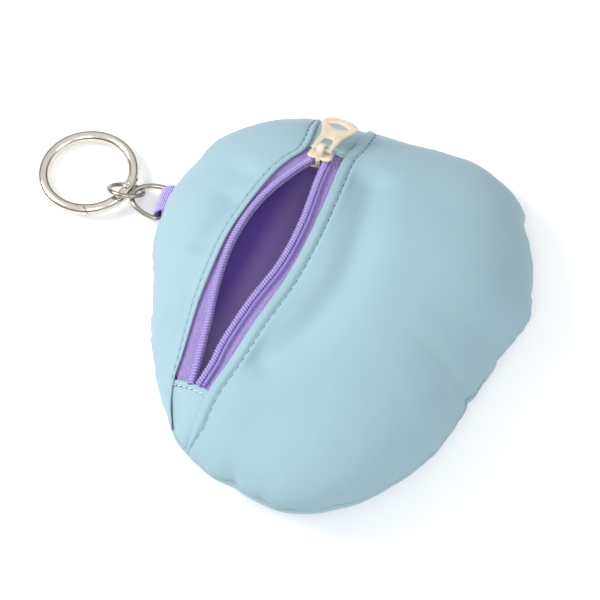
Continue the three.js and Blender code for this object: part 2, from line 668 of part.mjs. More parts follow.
// Spring-gate ring: an open ring whose forked end holds the gate's tongue on a rivet.
const clasp = new THREE.Group();
clasp.name = 'clasp_frame';
clasp.position.set(...barMiddle).add(vector(...claspOffset));
clasp.quaternion.setFromAxisAngle(
  vector(Math.sin(claspLeanHeading), -Math.cos(claspLeanHeading)), claspLean);
group.add(clasp);
const rivetPlace = vector(Math.cos(rivetAngle) * claspRadius, Math.sin(rivetAngle) * claspRadius);
const wireRadius = claspWire / 2;
const inside = claspRadius - claspWire;
const outside = claspRadius + claspWire;
const overrun = (2 * gap) / claspRadius;
const lipReach = claspWire / claspRadius;
const rivetHole = prism(disc(rivetRadius + gap), -claspWire, claspWire).translate(rivetPlace.toArray());
const onRing = (radius, angle) => plan([Math.cos(angle) * radius, Math.sin(angle) * radius]);
const outerEnd = lipOuter + (claspWire * Math.tan(outerSlant)) / outside;
const innerEnd = lipInner - (claspWire * Math.tan(innerSlant)) / inside;
const lipLine = [
  onRing(inside, innerEnd),
  onRing(claspRadius, lipInner),
  onRing(claspRadius, (lipInner + lipOuter) / 2),
  onRing(claspRadius, lipOuter),
  onRing(outside, outerEnd),
];

// All of the wire between the step, moved by a clearance, and an angle past it.
function pastLip(clearance, angle) {
  const backwards = angle < outerEnd;
  const rim = new THREE.Path().absarc(0, 0, outside, outerEnd, angle, backwards);
  const eye = new THREE.Path().absarc(0, 0, inside, angle, innerEnd, !backwards);
  const arcs = [...rim.getPoints(sectorSteps), ...eye.getPoints(sectorSteps)];
  return prism([...beside(lipLine, clearance), ...arcs], -claspWire, claspWire);
}

const claspArc = wireArc(claspRadius, wireRadius, forkEnd, outerEnd + fullTurn, claspSteps, claspSides);
const claspBody = toSolid(claspArc)
  .subtract(pastLip(-gap / 2, outerEnd + lipReach))
  .subtract(sector(inside, outside, forkEnd - overrun, forkFloor, -forkSlot / 2, forkSlot / 2))
  .subtract(sector(inside, outside, forkEnd - overrun, forkFloor, cheekHeight, claspWire))
  .subtract(sector(inside, outside, forkEnd - overrun, forkFloor, -claspWire, -cheekHeight))
  .subtract(rivetHole);
addPiece('clasp_ring', claspBody, 'metal', clasp);

const gate = new THREE.Group();
gate.name = 'gate_frame';
gate.position.copy(rivetPlace);
clasp.add(gate);
const gateWire = (from, to) => toSolid(wireArc(claspRadius, wireRadius, from, to, gateSteps, claspSides));
const tongue = gateWire(gateShoulder - overrun, heelAngle)
  .intersect(sector(inside, outside, gateShoulder - 2 * overrun, heelAngle + overrun,
    -tongueThickness / 2, tongueThickness / 2));
const gateSolid = gateWire(innerEnd, gateShoulder)
  .subtract(pastLip(gap / 2, innerEnd - lipReach))
  .add(tongue)
  .subtract(rivetHole)
  .translate(rivetPlace.clone().negate().toArray());
addPiece('clasp_gate', gateSolid, 'metal', gate);

const headUnder = cheekHeight + gap;
const rivetHalf = [[rivetRadius, headUnder], [rivetHeadRadius, headUnder],
  [rivetHeadRadius, headUnder + rivetHeadThickness], [0, headUnder + rivetHeadThickness]];
const rivetBelow = rivetHalf.map(([radius, height]) => plan([radius, -height]));
const rivetProfile = [...rivetBelow.reverse(), ...rivetHalf.map(plan)];
const rivetShape = new THREE.LatheGeometry(rivetProfile, claspSides).rotateX(Math.PI / 2);
addPiece('gate_rivet', rivetShape, 'metal', clasp).position.copy(rivetPlace);

export default group;
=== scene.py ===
import math
import bmesh
import bpy
import numpy as np
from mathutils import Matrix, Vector


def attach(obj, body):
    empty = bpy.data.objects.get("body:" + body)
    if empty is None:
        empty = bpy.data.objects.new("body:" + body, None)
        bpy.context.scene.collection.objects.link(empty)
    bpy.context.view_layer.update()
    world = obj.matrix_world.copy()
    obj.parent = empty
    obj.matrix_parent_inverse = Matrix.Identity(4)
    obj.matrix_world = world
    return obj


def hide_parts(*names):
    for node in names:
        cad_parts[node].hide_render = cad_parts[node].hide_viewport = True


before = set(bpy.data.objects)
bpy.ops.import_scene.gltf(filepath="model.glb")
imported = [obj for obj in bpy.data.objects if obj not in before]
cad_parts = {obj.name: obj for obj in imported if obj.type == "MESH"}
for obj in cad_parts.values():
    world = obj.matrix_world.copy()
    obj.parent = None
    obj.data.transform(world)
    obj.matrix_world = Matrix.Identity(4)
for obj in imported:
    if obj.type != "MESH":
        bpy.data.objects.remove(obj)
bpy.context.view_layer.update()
mm = 0.001  # sizes below are in millimetres
justInside = 0.995  # of the rim, where the crown's normal is still sure
fullTurn = 2 * math.pi

# Camera, lights and floor
stage = {
    "eye": (-14.514, -576.065, 946.853),
    "elevation": 58,
    "lens": 203.9,
    "sensor": 36,
    "floor": 3000,
    "floorColour": (0.92, 0.93, 0.94),
    "floorGlow": 0.26,  # seen by the camera and in mirrors only, so that the floor reads as white
    "keyPower": 5.8,
    "fillPower": 1.75,
    "frontPower": 2.4,
    "skyHigh": 0.56,
    "skyLow": 0.05,
    "skyInMirrors": 0.95,  # the white room overhead, as the wire shows it
}


def placeArea(name, spot, target, size, power, colour=(1, 1, 1)):
    light = bpy.data.lights.new(name, "AREA")
    light.shape = "RECTANGLE"
    light.size, light.size_y = size[0] * mm, size[1] * mm
    light.energy = power
    light.color = colour
    lamp = bpy.data.objects.new(name, light)
    lamp.location = Vector(spot) * mm
    lamp.rotation_euler = (Vector(target) - Vector(spot)).to_track_quat("-Z", "Y").to_euler()
    bpy.context.collection.objects.link(lamp)


camera = bpy.data.objects.new("camera", bpy.data.cameras.new("camera"))
camera.location = Vector(stage["eye"]) * mm
camera.rotation_euler = (math.radians(90 - stage["elevation"]), 0, 0)
camera.data.lens = stage["lens"]
camera.data.sensor_width = stage["sensor"]
camera.data.clip_start = 0.05
bpy.context.collection.objects.link(camera)
bpy.context.scene.camera = camera
bpy.context.scene.view_settings.view_transform = "Standard"


# A node socket that takes part in sums.
class Value:
    def __init__(self, tree, socket):
        self.tree = tree
        self.socket = socket

    def maths(self, operation, *others):
        node = self.tree.nodes.new("ShaderNodeMath")
        node.operation = operation
        for entry, item in zip(node.inputs, (self, *others)):
            plug(self.tree, entry, item)
        return Value(self.tree, node.outputs[0])

    def __add__(self, other):
        return self.maths("ADD", other)

    def __mul__(self, other):
        return self.maths("MULTIPLY", other)

    __radd__ = __add__
    __rmul__ = __mul__


def plug(tree, entry, item):
    if isinstance(item, Value):
        tree.links.new(item.socket, entry)
    else:
        entry.default_value = item


# One material, its shader and the nodes behind it.
class Finish:
    def __init__(self, name, **constants):
        self.material = bpy.data.materials.new(name)
        self.material.use_nodes = True
        self.tree = self.material.node_tree
        self.shader = self.tree.nodes["Principled BSDF"]
        for entry, item in constants.items():
            self.shader.inputs[entry.replace("_", " ")].default_value = item

    def node(self, kind, settings=None, out=0, **sockets):
        node = self.tree.nodes.new(kind)
        for name, setting in (settings or {}).items():
            setattr(node, name, setting)
        for name, item in sockets.items():
            entry = node.inputs[int(name[1:]) if name[0] == "_" else name.replace("_", " ")]
            plug(self.tree, entry, item)
        return Value(self.tree, node.outputs[out])

    def place(self):
        return self.node("ShaderNodeTexCoord", out="Object")

    def noise(self, scale, detail=3, stretch=None, rough=0.5):
        where = self.place()
        if stretch:
            where = self.node("ShaderNodeMapping", Vector=where, Scale=stretch)
        return self.node("ShaderNodeTexNoise", Vector=where, Scale=scale, Detail=detail, Roughness=rough)

    def waves(self, way, where, scale, distortion):
        return self.node("ShaderNodeTexWave", {"bands_direction": way}, 1, Vector=where, Scale=scale,
                         Distortion=distortion)

    def mix(self, factor, first, second):
        return self.node("ShaderNodeMix", {"data_type": "RGBA"}, 2, _0=factor, _6=first, _7=second)

    def ramp(self, factor, low, high):
        return self.node("ShaderNodeMapRange", {"clamp": True}, Value=factor, _1=low, _2=high)

    def bump(self, height, strength, distance, under=None):
        more = {"Normal": under} if under else {}
        return self.node("ShaderNodeBump", Height=height, Strength=strength, Distance=distance * mm, **more)

    def feed(self, **links):
        for entry, item in links.items():
            plug(self.tree, self.shader.inputs[entry.replace("_", " ")], item)
        return self.material


def colour(red, green, blue):
    linear = [((c / 255 + 0.055) / 1.055) ** 2.4 if c > 10.3 else c / 255 / 12.92 for c in (red, green, blue)]
    return (*linear, 1)


floorMesh = bpy.data.meshes.new("floor")
reach = stage["floor"] * mm / 2
floorMesh.from_pydata([(-reach, -reach, 0), (reach, -reach, 0), (reach, reach, 0), (-reach, reach, 0)], [],
                      [(0, 1, 2, 3)])
floor = bpy.data.objects.new("floor", floorMesh)
floor.location.z = -0.0004
bpy.context.collection.objects.link(floor)
floorFinish = Finish("floorPaper", Base_Color=(*stage["floorColour"], 1), Roughness=0.9)
rays = floorFinish.node("ShaderNodeLightPath", out="Is Camera Ray")
mirrorRays = floorFinish.node("ShaderNodeLightPath", out="Is Glossy Ray")
glassRays = floorFinish.node("ShaderNodeLightPath", out="Is Transmission Ray")
seen = rays.maths("MAXIMUM", mirrorRays).maths("MAXIMUM", glassRays)
floorFinish.shader.inputs["Emission Color"].default_value = (1, 1, 1, 1)
plug(floorFinish.tree, floorFinish.shader.inputs["Emission Strength"], seen * stage["floorGlow"])
floorMesh.materials.append(floorFinish.material)

# A room that is bright overhead and dark near the floor, which draws dark lines along the wire.
world = bpy.data.worlds.new("studio")
bpy.context.scene.world = world
world.use_nodes = True
sky = world.node_tree.nodes["Background"]
sky.inputs["Color"].default_value = (1, 1, 1, 1)
ways, height, rayKind, choice = (world.node_tree.nodes.new(kind) for kind in (
    "ShaderNodeTexCoord", "ShaderNodeSeparateXYZ", "ShaderNodeLightPath", "ShaderNodeMix"))
world.node_tree.links.new(ways.outputs["Generated"], height.inputs[0])
world.node_tree.links.new(rayKind.outputs["Is Glossy Ray"], choice.inputs[0])
for entry, top in ((2, stage["skyHigh"]), (3, stage["skyInMirrors"])):
    shade = world.node_tree.nodes.new("ShaderNodeMapRange")
    shade.interpolation_type = "SMOOTHSTEP"
    for name, item in zip(("From Min", "From Max", "To Min", "To Max"), (0.1, 0.75, stage["skyLow"], top)):
        shade.inputs[name].default_value = item
    world.node_tree.links.new(height.outputs[2], shade.inputs["Value"])
    world.node_tree.links.new(shade.outputs[0], choice.inputs[entry])
world.node_tree.links.new(choice.outputs[0], sky.inputs["Strength"])
placeArea("keyLight", (-700, 170, 540), (0, 0, 10), (420, 420), stage["keyPower"], (1, 0.99, 0.97))
placeArea("fillLight", (600, -300, 600), (0, 0, 10), (500, 500), stage["fillPower"])
placeArea("frontLight", (-60, -640, 820), (-25, 10, 15), (460, 460), stage["frontPower"])
print("stage ready")

# The pouch's form: rim radius and seam height every 15 degrees from +X, as shares.
pouch = {
    "radius": 70,
    "height": 36,
    "crownPower": 2.2,
    "crownRoot": 1.9,
    "flatShare": 0.5,
    "rim": [0.824, 0.911, 0.997, 1.09, 1.071, 1.051, 1.107, 1.179, 1.184, 1.113, 1.029, 0.92,
            0.893, 0.911, 0.957, 1.034, 1.044, 1.067, 0.996, 0.89, 0.807, 0.727, 0.707, 0.726],
    "seam": [0.25, 0.239, 0.228, 0.222, 0.222, 0.231, 0.244, 0.25, 0.25, 0.258, 0.283, 0.322,
             0.375, 0.428, 0.472, 0.503, 0.514, 0.494, 0.456, 0.397, 0.347, 0.306, 0.278, 0.256],
}


def unit(v):
    v = np.asarray(v, float)
    return v / np.maximum(np.linalg.norm(v, axis=-1, keepdims=True), 1e-12)


def hump(x, width):
    return np.exp(-((np.asarray(x) / width) ** 2))


def ease(t):
    t = np.clip(t, 0, 1)
    return t * t * (3 - 2 * t)


def through(a, b, c, d, f):  # a share f of the way from b to c, smooth with their neighbours
    return b + 0.5 * f * (c - a + f * (2 * a - 5 * b + 4 * c - d + f * (3 * (b - c) + d - a)))


def roundRim(shares, angle):
    values = np.asarray(shares)
    at = (np.asarray(angle) / fullTurn * len(values)) % len(values)
    i = np.floor(at).astype(int) % len(values)
    return through(*(values[(i + k) % len(values)] for k in (-1, 0, 1, 2)), at - np.floor(at))


def rimAt(angle):
    return pouch["radius"] * roundRim(pouch["rim"], angle)


def shareAt(plan):  # how far out a plan place is, as a share of the rim's radius there
    return np.hypot(plan[..., 0], plan[..., 1]) / rimAt(np.arctan2(plan[..., 1], plan[..., 0]))


def seamAt(angle):
    return pouch["height"] * roundRim(pouch["seam"], angle)


def crown(plan, depth=0.0):  # points over plan places, a depth under the outer face
    plan = np.asarray(plan, float)
    angle = np.arctan2(plan[..., 1], plan[..., 0])
    share = np.minimum(np.hypot(plan[..., 0], plan[..., 1]) / (rimAt(angle) - depth), 1)
    foot = seamAt(angle) + 0.05
    rise = (1 - share ** pouch["crownPower"]) ** (1 / pouch["crownRoot"])
    return np.concatenate([plan, (foot + (pouch["height"] - depth - foot) * rise)[..., None]], -1)


def crownNormal(plan, step=0.3):
    plan = np.asarray(plan, float)
    slopes = []
    for way in ([step, 0], [0, step]):
        slopes.append(crown(plan - way)[..., 2] - crown(plan + way)[..., 2])
    return unit(np.stack([*slopes, np.full_like(slopes[0], 2 * step)], -1))


def overCrown(plan, lift=0.0):
    return crown(plan) + crownNormal(plan) * np.asarray(lift)[..., None]


def runOf(line):
    return np.concatenate([[0], np.cumsum(np.linalg.norm(np.diff(line, axis=0), axis=1))])


def along(line, at):
    run = runOf(line)
    return np.stack([np.interp(at, run, line[:, k]) for k in range(line.shape[1])], 1)


def evenly(line, count):
    return along(line, np.linspace(0, runOf(line)[-1], count))


def splinePoints(points, count):
    p = np.asarray(points, float)
    q = np.vstack([2 * p[:1] - p[1:2], p, 2 * p[-1:] - p[-2:-1]])
    t = np.linspace(0, len(p) - 1, count * 4)
    i = np.minimum(t.astype(int), len(p) - 2)
    return evenly(through(q[i], q[i + 1], q[i + 2], q[i + 3], (t - i)[:, None]), count)


def sideways(line):  # to the left of the way the line runs
    way = unit(np.gradient(line, axis=0))
    return np.stack([-way[:, 1], way[:, 0]], 1)


def gridNormals(grid, wrap=False):
    if wrap:
        rows = np.concatenate([grid[-1:], grid, grid[:1]])
        du = (rows[2:] - rows[:-2]) / 2
    else:
        du = np.gradient(grid, axis=0)
    return unit(np.cross(du, np.gradient(grid, axis=1)))


def gridFaces(rows, cols, start=0, wrap=False):
    i, j = np.meshgrid(np.arange(rows if wrap else rows - 1), np.arange(cols - 1), indexing="ij")
    a = i * cols + j
    b = ((i + 1) % rows) * cols + j
    return np.stack([a, b, b + 1, a + 1], -1).reshape(-1, 4) + start


# A closed skin between a grid of points and the same grid moved in by a thickness.
def skin(grid, thickness, wrap=False, uv=None, middle=(0, 0, 15)):
    rows, cols = grid.shape[:2]
    away = gridNormals(grid, wrap)
    if middle is not None:
        away *= np.sign((away * (grid - np.array(middle))).sum())
    inner = grid - away * thickness
    size = rows * cols
    points = np.concatenate([grid.reshape(-1, 3), inner.reshape(-1, 3)])
    outerFaces = gridFaces(rows, cols, 0, wrap)
    faces = [outerFaces, gridFaces(rows, cols, size, wrap)[:, ::-1]]
    edges = []
    lines = np.arange(rows)
    for col, flip in ((0, False), (cols - 1, True)):
        edge = lines * cols + col
        if wrap:
            edge = np.append(edge, edge[0])
        edges.append((edge, flip))
    if not wrap:
        cells = np.arange(cols)
        edges += [(cells, True), ((rows - 1) * cols + cells, False)]
    for edge, flip in edges:
        wall = np.stack([edge[:-1], edge[:-1] + size, edge[1:] + size, edge[1:]], 1)
        faces.append(wall[:, ::-1] if flip else wall)
    if uv is None:
        uv = gridUv(grid)
    return points, np.concatenate(faces), np.concatenate([uv.reshape(-1, 2)] * 2)


def runAcross(grid):  # the length over the surface along each row
    steps = np.linalg.norm(np.diff(grid, axis=1), axis=2)
    return np.concatenate([np.zeros((len(grid), 1)), np.cumsum(steps, 1)], 1)


def gridUv(grid):  # lengths over the surface, in millimetres
    u = runAcross(grid.transpose(1, 0, 2)).T
    return np.stack([u.mean(1, keepdims=True) + 0 * u, runAcross(grid)], -1)


def facingOut(points, faces):
    a, b, c, d = (points[faces[:, k]] for k in range(4))
    volume = (np.cross(b - a, c - a) * a).sum() + (np.cross(c - a, d - a) * a).sum()
    return faces if volume > 0 else faces[:, ::-1]


# All shells in one, with no corner twice in a face.
def joined(shells):
    points, faces, start = [], [], 0
    for shell in shells:
        found = shell[1]
        if isinstance(found, np.ndarray):
            found = facingOut(shell[0], found).tolist()
        found = [tuple(corner + start for corner in dict.fromkeys(face)) for face in found]
        faces += [face for face in found if len(face) > 2]
        points.append(shell[0])
        start += len(shell[0])
    return np.concatenate(points), faces


def meshObject(name, points, faces, edges=()):
    mesh = bpy.data.meshes.new(name)
    mesh.from_pydata((points * mm).tolist(), edges, faces)
    made = bpy.data.objects.new(name, mesh)
    bpy.context.collection.objects.link(made)
    return made


def addPiece(name, shells, finish, body, replaced=()):
    piece = meshObject(name, *joined(shells))
    mesh = piece.data
    uvs = np.concatenate([shell[2] for shell in shells])
    corners = np.zeros(len(mesh.loops), int)
    mesh.loops.foreach_get("vertex_index", corners)
    mesh.uv_layers.new(name="lengths").data.foreach_set("uv", uvs[corners].ravel())
    mesh.polygons.foreach_set("use_smooth", [True] * len(mesh.polygons))
    mesh.update()
    finishPiece(piece, finish, body, replaced)


def evaluated(carrier):  # the mesh of a carrier as its modifiers leave it
    graph = bpy.context.evaluated_depsgraph_get()
    made = bpy.data.meshes.new_from_object(carrier.evaluated_get(graph))
    bpy.data.objects.remove(carrier)
    return made


def finishPiece(piece, finish, body, replaced=(), bevel=None):
    if not piece.data.materials:
        piece.data.materials.append(finish)
    if bevel:
        rounding = piece.modifiers.new("edges", "BEVEL")
        rounding.width = bevel * mm
        rounding.segments = 2
        rounding.limit_method = "ANGLE"
        rounding.angle_limit = math.radians(38)
    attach(piece, body)
    if replaced:
        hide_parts(*replaced)


# Cloth panels. Lines are plan points, from the slider's end to the far end.
cloth = {
    "thickness": 0.35,
    "leftFold": [(-5.2, 91), (-7.2, 79), (-11.6, 58.8), (-17.8, 51.7), (-24, 44.2), (-37, 22.9), (-45.6, 1.2),
                 (-51.4, -19.6), (-54.3, -28.5), (-55.4, -36), (-55, -44), (-55, -56)],
    "rightFold": [(15.5, 88), (8.5, 72), (3.6, 59.4), (-0.1, 52.5), (-6.4, 32.4), (-12.4, 16.2), (-19.6, 1.2),
                  (-28.7, -13), (-36.8, -26.5), (-43.2, -35.8), (-47.3, -44.7), (-49.5, -50.7), (-53, -60)],
    "lines": 300,
    "across": 240,
    "bow": 0.3,  # share of a line's length over which it keeps its way at either end
    "fullWidth": 26,  # where the panel is narrower, its folds and seams shrink with it
    "leftStitch": 2.3,  # from the fold
    "rightStitch": 3.4,
    "bandRise": 0.25,
    "bandFade": 1.7,
    "grooveDepth": 0.5,
    "grooveWidth": 0.5,
    "hollow": 0.3,
    "dentStart": 3.6,
    "swell": 9,  # the padding reaches its full height this far beyond the stitches
    "endRun": {1: (5, 5), -1: (5, 0.8)},  # each panel's width along the rim where its fold meets it
    "tucks": [(0.7, -0.02), (1.8, 0.1)],  # the turned edge at the rim: how far in and how high
    "underTucks": [(1.8, -0.1), (0.7, 0)],
    "underPuckers": 0.6,
}
# Soft troughs: plan points, depth and width.
dents = [
    ([(9, 40), (6.5, 26), (4.5, 17), (0.5, 3), (-5.5, -7.5), (-11.5, -15.5), (-18, -21.5), (-25, -27)],
     3.3, 6.4),
    ([(-46.5, 19.7), (-41, 28), (-36.5, 35.5)], 1.7, 3.6),
    ([(-38.8, 40.5), (-34, 47)], 1.6, 6),
    ([(-52, -6), (-49, 10)], 0.6, 5),
    ([(30, -20), (38, -30)], 0.5, 12),
    ([(40, 30), (30, 44)], 0.5, 14),
]
# Puckers across the rim seam, and the fullness between them: angle, depth, width and reach.
puckers = [
    (36.5, -1.2, 5, 28), (46.5, 1.0, 4, 16), (56, -1.1, 5, 28), (95.7, -1.2, 6, 25), (102, 0.8, 4, 12),
    (120, -0.6, 6, 20), (129, 1.2, 5, 20), (145.5, 1.2, 6, 14), (-14, 0.7, 2.4, 12), (-20, -0.8, 5, 18),
    (-26, 0.7, 2.0, 10), (-31, 0.5, 1.6, 9), (-37, 1.8, 2.6, 22), (-45, 0.8, 2.0, 11), (3, -1.2, 6, 22),
    (12, 0.5, 3, 9), (33, 0.7, 3, 8), (58, 0.6, 3, 8), (84, 0.6, 2.5, 7), (112, 0.7, 3, 9),
    (127, 0.7, 3, 10), (152, 0.5, 3, 8), (176, 0.6, 3, 9), (196, 0.7, 3, 8), (214, 1.0, 2.2, 8),
    (226, 1.2, 2.4, 10), (229.5, 0.5, 2.0, 8), (235, -1.5, 4, 14), (241, 1.3, 2.4, 9), (249, 0.9, 2.2, 8),
    (258, 0.4, 2.6, 10), (268, 0.8, 3, 9), (283, 0.3, 3, 9), (296, 0.8, 3, 10), (306, 0.5, 3, 9),
    (316, -0.9, 8, 22),
]


def puckerDepth(angle, toRim):
    angle, toRim = np.broadcast_arrays(angle, toRim)
    total = np.zeros(angle.shape)
    for at, depth, width, reach in puckers:
        off = (angle - math.radians(at) + math.pi) % fullTurn - math.pi
        total += depth * hump(off * rimAt(math.radians(at)), width) * np.exp(-toRim / (0.45 * reach))
    fine = 0.16 * np.sin(61 * angle + 2 * np.sin(7 * angle)) + 0.1 * np.sin(97 * angle + 1.3)
    return total + fine * np.exp(-toRim / 2.6)


def dentDepth(plan):
    total = np.zeros(plan.shape[:-1])
    for points, depth, width in dents:
        line = splinePoints(points, 160)
        near = np.linalg.norm(plan[..., None, :] - line, axis=-1)
        total += depth * hump(near.min(-1), width)
    return total


def insideRim(points, count):
    line = splinePoints(points, 3000)
    return evenly(line[shareAt(line) < 1], count)


leftFold = insideRim(cloth["leftFold"], cloth["lines"])
rightFold = insideRim(cloth["rightFold"], cloth["lines"])
nearRows = np.array([0.75, 1.05, 1.4, 1.75, 2.05, 2.35, 2.65, 2.95, 3.2, 3.45, 3.75, 4.1, 4.6, 5.2, 6.0, 7.0])
rimRows = np.array([7, 5.6, 4.5, 3.6, 2.8, 2.1, 1.5, 1.0, 0.6, 0.25, 0])
foldRows = [(2.2, -0.72), (1.2, -0.78), (0.5, -0.75), (0.14, -0.6), (0, -0.3), (0.06, -0.05), (0.26, 0.16)]


def turnedIn(rim, room, tucks):
    inward = -unit(rim * [1, 1, 0]) * room
    return [rim + inward * far + [0, 0, rise] for far, rise in tucks]


# A panel between a fold beside the mouth and the rim.
def panel(fold, side, midRows, stitch):
    count = len(fold)
    out = sideways(fold) * side
    first, last = np.arctan2(fold[[0, -1], 1], fold[[0, -1], 0]) % fullTurn
    if side > 0:
        last -= fullTurn
    runs = np.array(cloth["endRun"][side]) / pouch["radius"] * np.sign(last - first)
    angle = np.linspace(first + runs[0], last - runs[1], count)
    rimPlan = rimAt(angle)[:, None] * np.stack([np.cos(angle), np.sin(angle)], 1)
    reach = np.linalg.norm(rimPlan - fold, axis=1)[:, None]
    near, far = fold + out * reach * cloth["bow"], rimPlan - unit(rimPlan) * reach * cloth["bow"]
    t = ((1 - np.cos(np.linspace(0, math.pi, cloth["across"]))) / 2)[None, :, None]
    plan = ((1 - t) ** 3 * fold[:, None] + 3 * (1 - t) ** 2 * t * near[:, None]
            + 3 * (1 - t) * t * t * far[:, None] + t ** 3 * rimPlan[:, None])
    share = shareAt(plan)
    fromEnd = np.minimum(runOf(fold), runOf(fold)[-1] - runOf(fold))
    pull = np.exp(-fromEnd / 1.2)[:, None]
    plan *= (np.minimum(share + (1 - share) * pull, 1) / share)[..., None]
    lines = crown(plan)
    grid, gone, left, narrow = [], [], [], []
    for line in lines:
        length = runOf(line)[-1]
        scale = min(1, length / cloth["fullWidth"])
        middle = np.linspace(nearRows[-1] * scale, length - rimRows[0] * scale, midRows + 2)[1:-1]
        at = np.concatenate([nearRows * scale, middle, length - rimRows * scale])
        grid.append(along(line, at))
        gone.append(at)
        left.append(length - at)
        narrow.append([scale])
    return {"fold": fold, "out": out, "grid": np.array(grid), "gone": np.array(gone), "left": np.array(left),
            "narrow": np.array(narrow), "stitch": stitch}


# Adds the folded band, the troughs and the puckers, turns the fold under and the rim in.
def dress(made, shift):
    grid, gone, left, narrow = made["grid"], made["gone"], made["left"], made["narrow"]
    away = gridNormals(grid)
    away *= np.sign(away[..., 2:].mean())
    past = gone / narrow - made["stitch"]
    band = cloth["bandRise"] * (1 - ease(past / cloth["bandFade"] + 1))
    groove = -cloth["grooveDepth"] * hump(past, cloth["grooveWidth"])
    hollow = -cloth["hollow"] * (1 - ease(past / cloth["swell"])) * ease((past + 0.6) / 1.0)
    angle = np.arctan2(grid[..., 1], grid[..., 0])
    lift = band + groove + hollow - puckerDepth(angle, left)
    lift -= dentDepth(grid[..., :2]) * ease((past + 0.2) / cloth["dentStart"])
    points = grid + away * (lift * narrow)[..., None] + shift * narrow[..., None] ** 2
    under = []
    fromEnd = np.minimum(runOf(made["fold"]), runOf(made["fold"])[-1] - runOf(made["fold"]))
    flat = ease(fromEnd / 4)
    for aside, rise in foldRows:
        spot = made["fold"] + made["out"] * aside * narrow * (0.15 + 0.85 * flat[:, None])
        spot = spot / np.maximum(shareAt(spot), 1)[:, None]
        risen = rise * (0.4 + 0.6 * flat * narrow[:, 0])
        under.append(crown(spot) + crownNormal(spot * justInside) * risen[:, None])
    room = np.minimum(1, made["left"][:, 0] / 5)[:, None]
    tucked = turnedIn(points[:, -1], room, cloth["tucks"])
    made["full"] = np.concatenate([np.array(under).transpose(1, 0, 2), points,
                                   np.array(tucked).transpose(1, 0, 2)], 1)
    made["points"], made["away"] = points, away


# The padding pushes the cloth out between its seams, and the spare cloth makes soft wrinkles.
sim = {
    "lines": 84,
    "across": 40,
    "scale": 6,
    "pressure": 4,
    "slack": 0.015,
    "frames": 20,
    "calm": 40,  # rounds that find the slow part of the movement, which is taken out
    "soften": 5,
    "limit": 2,
    "share": 0.5,
}


def calmed(moved, rounds, pull):  # each inner point drawn to the mean of its neighbours
    calm = moved.copy()
    inner = calm[1:-1, 1:-1]
    for _ in range(rounds):
        inner += pull * ((calm[:-2, 1:-1] + calm[2:, 1:-1] + calm[1:-1, :-2] + calm[1:-1, 2:]) / 4 - inner)
    return calm


def settle(made):
    grid = made["grid"]
    picks = [np.unique(np.linspace(0, whole - 1, some).astype(int))
             for whole, some in zip(grid.shape, (sim["lines"], sim["across"]))]
    coarse = grid[np.ix_(*picks)]
    rows, cols = coarse.shape[:2]
    faces = gridFaces(rows, cols)
    if gridNormals(coarse)[..., 2].mean() < 0:
        faces = faces[:, ::-1]
    mesh = bpy.data.meshes.new("clothTrial")
    mesh.from_pydata((coarse.reshape(-1, 3) * mm * sim["scale"]).tolist(), [], faces.tolist())
    trial = bpy.data.objects.new("clothTrial", mesh)
    bpy.context.collection.objects.link(trial)
    sewn = (made["gone"] < made["narrow"] * (made["stitch"] + 0.4)) | (made["left"] < 0.3)
    sewn[[0, -1]] = True
    held = trial.vertex_groups.new(name="sewn")
    held.add(np.flatnonzero(sewn[np.ix_(*picks)]).tolist(), 1.0, "REPLACE")
    fabric = trial.modifiers.new("fabric", "CLOTH")
    settings = fabric.settings
    settings.quality, settings.mass, settings.air_damping = 6, 0.2, 2.0
    settings.tension_stiffness = settings.compression_stiffness = 25
    settings.shear_stiffness, settings.bending_stiffness = 6, 0.4
    settings.vertex_group_mass = "sewn"
    settings.shrink_min = settings.shrink_max = -sim["slack"]
    settings.use_pressure = True
    settings.uniform_pressure_force = sim["pressure"]
    settings.effector_weights.gravity = 0
    fabric.point_cache.frame_end = sim["frames"]
    for number in range(1, sim["frames"] + 1):
        bpy.context.scene.frame_set(number)
    found = np.zeros(rows * cols * 3)
    settled = trial.evaluated_get(bpy.context.evaluated_depsgraph_get())
    settled.data.vertices.foreach_get("co", found)
    bpy.context.scene.frame_set(1)
    bpy.data.objects.remove(trial)
    moved = found.reshape(rows, cols, 3) / (mm * sim["scale"]) - coarse
    moved -= calmed(moved, sim["calm"], 0.8) * 0.85
    moved = calmed(moved, sim["soften"], 0.6)
    length = np.linalg.norm(moved, axis=-1, keepdims=True)
    print("cloth settled, moved up to", round(float(length.max()), 2), "mm")
    moved *= sim["share"] * np.minimum(1, sim["limit"] / np.maximum(length, 1e-6))
    for axis, pick in enumerate(picks):
        steps = np.arange(grid.shape[axis])
        moved = np.apply_along_axis(lambda line: np.interp(steps, pick, line), axis, moved)
    return moved


wide = panel(rightFold, 1, 78, cloth["rightStitch"])
side = panel(leftFold, -1, 40, cloth["leftStitch"])


# The underside, from the rim to the flat middle.
def undersideGrid(depth=0.0, lines=360, rows=70):
    angle = np.linspace(0, fullTurn, lines, endpoint=False)[:, None]
    s = np.linspace(0, 1, rows)[None, :]
    share = 1 - s ** 1.7
    rim = rimAt(angle) - depth
    foot = seamAt(angle) - 0.05
    u = np.clip((share - pouch["flatShare"]) / (1 - pouch["flatShare"]), 0, 1)
    z = depth + (foot - depth) * (1 - np.sqrt(1 - u ** 2)) + 0 * share
    return np.stack([rim * share * np.cos(angle), rim * share * np.sin(angle), z], -1), angle


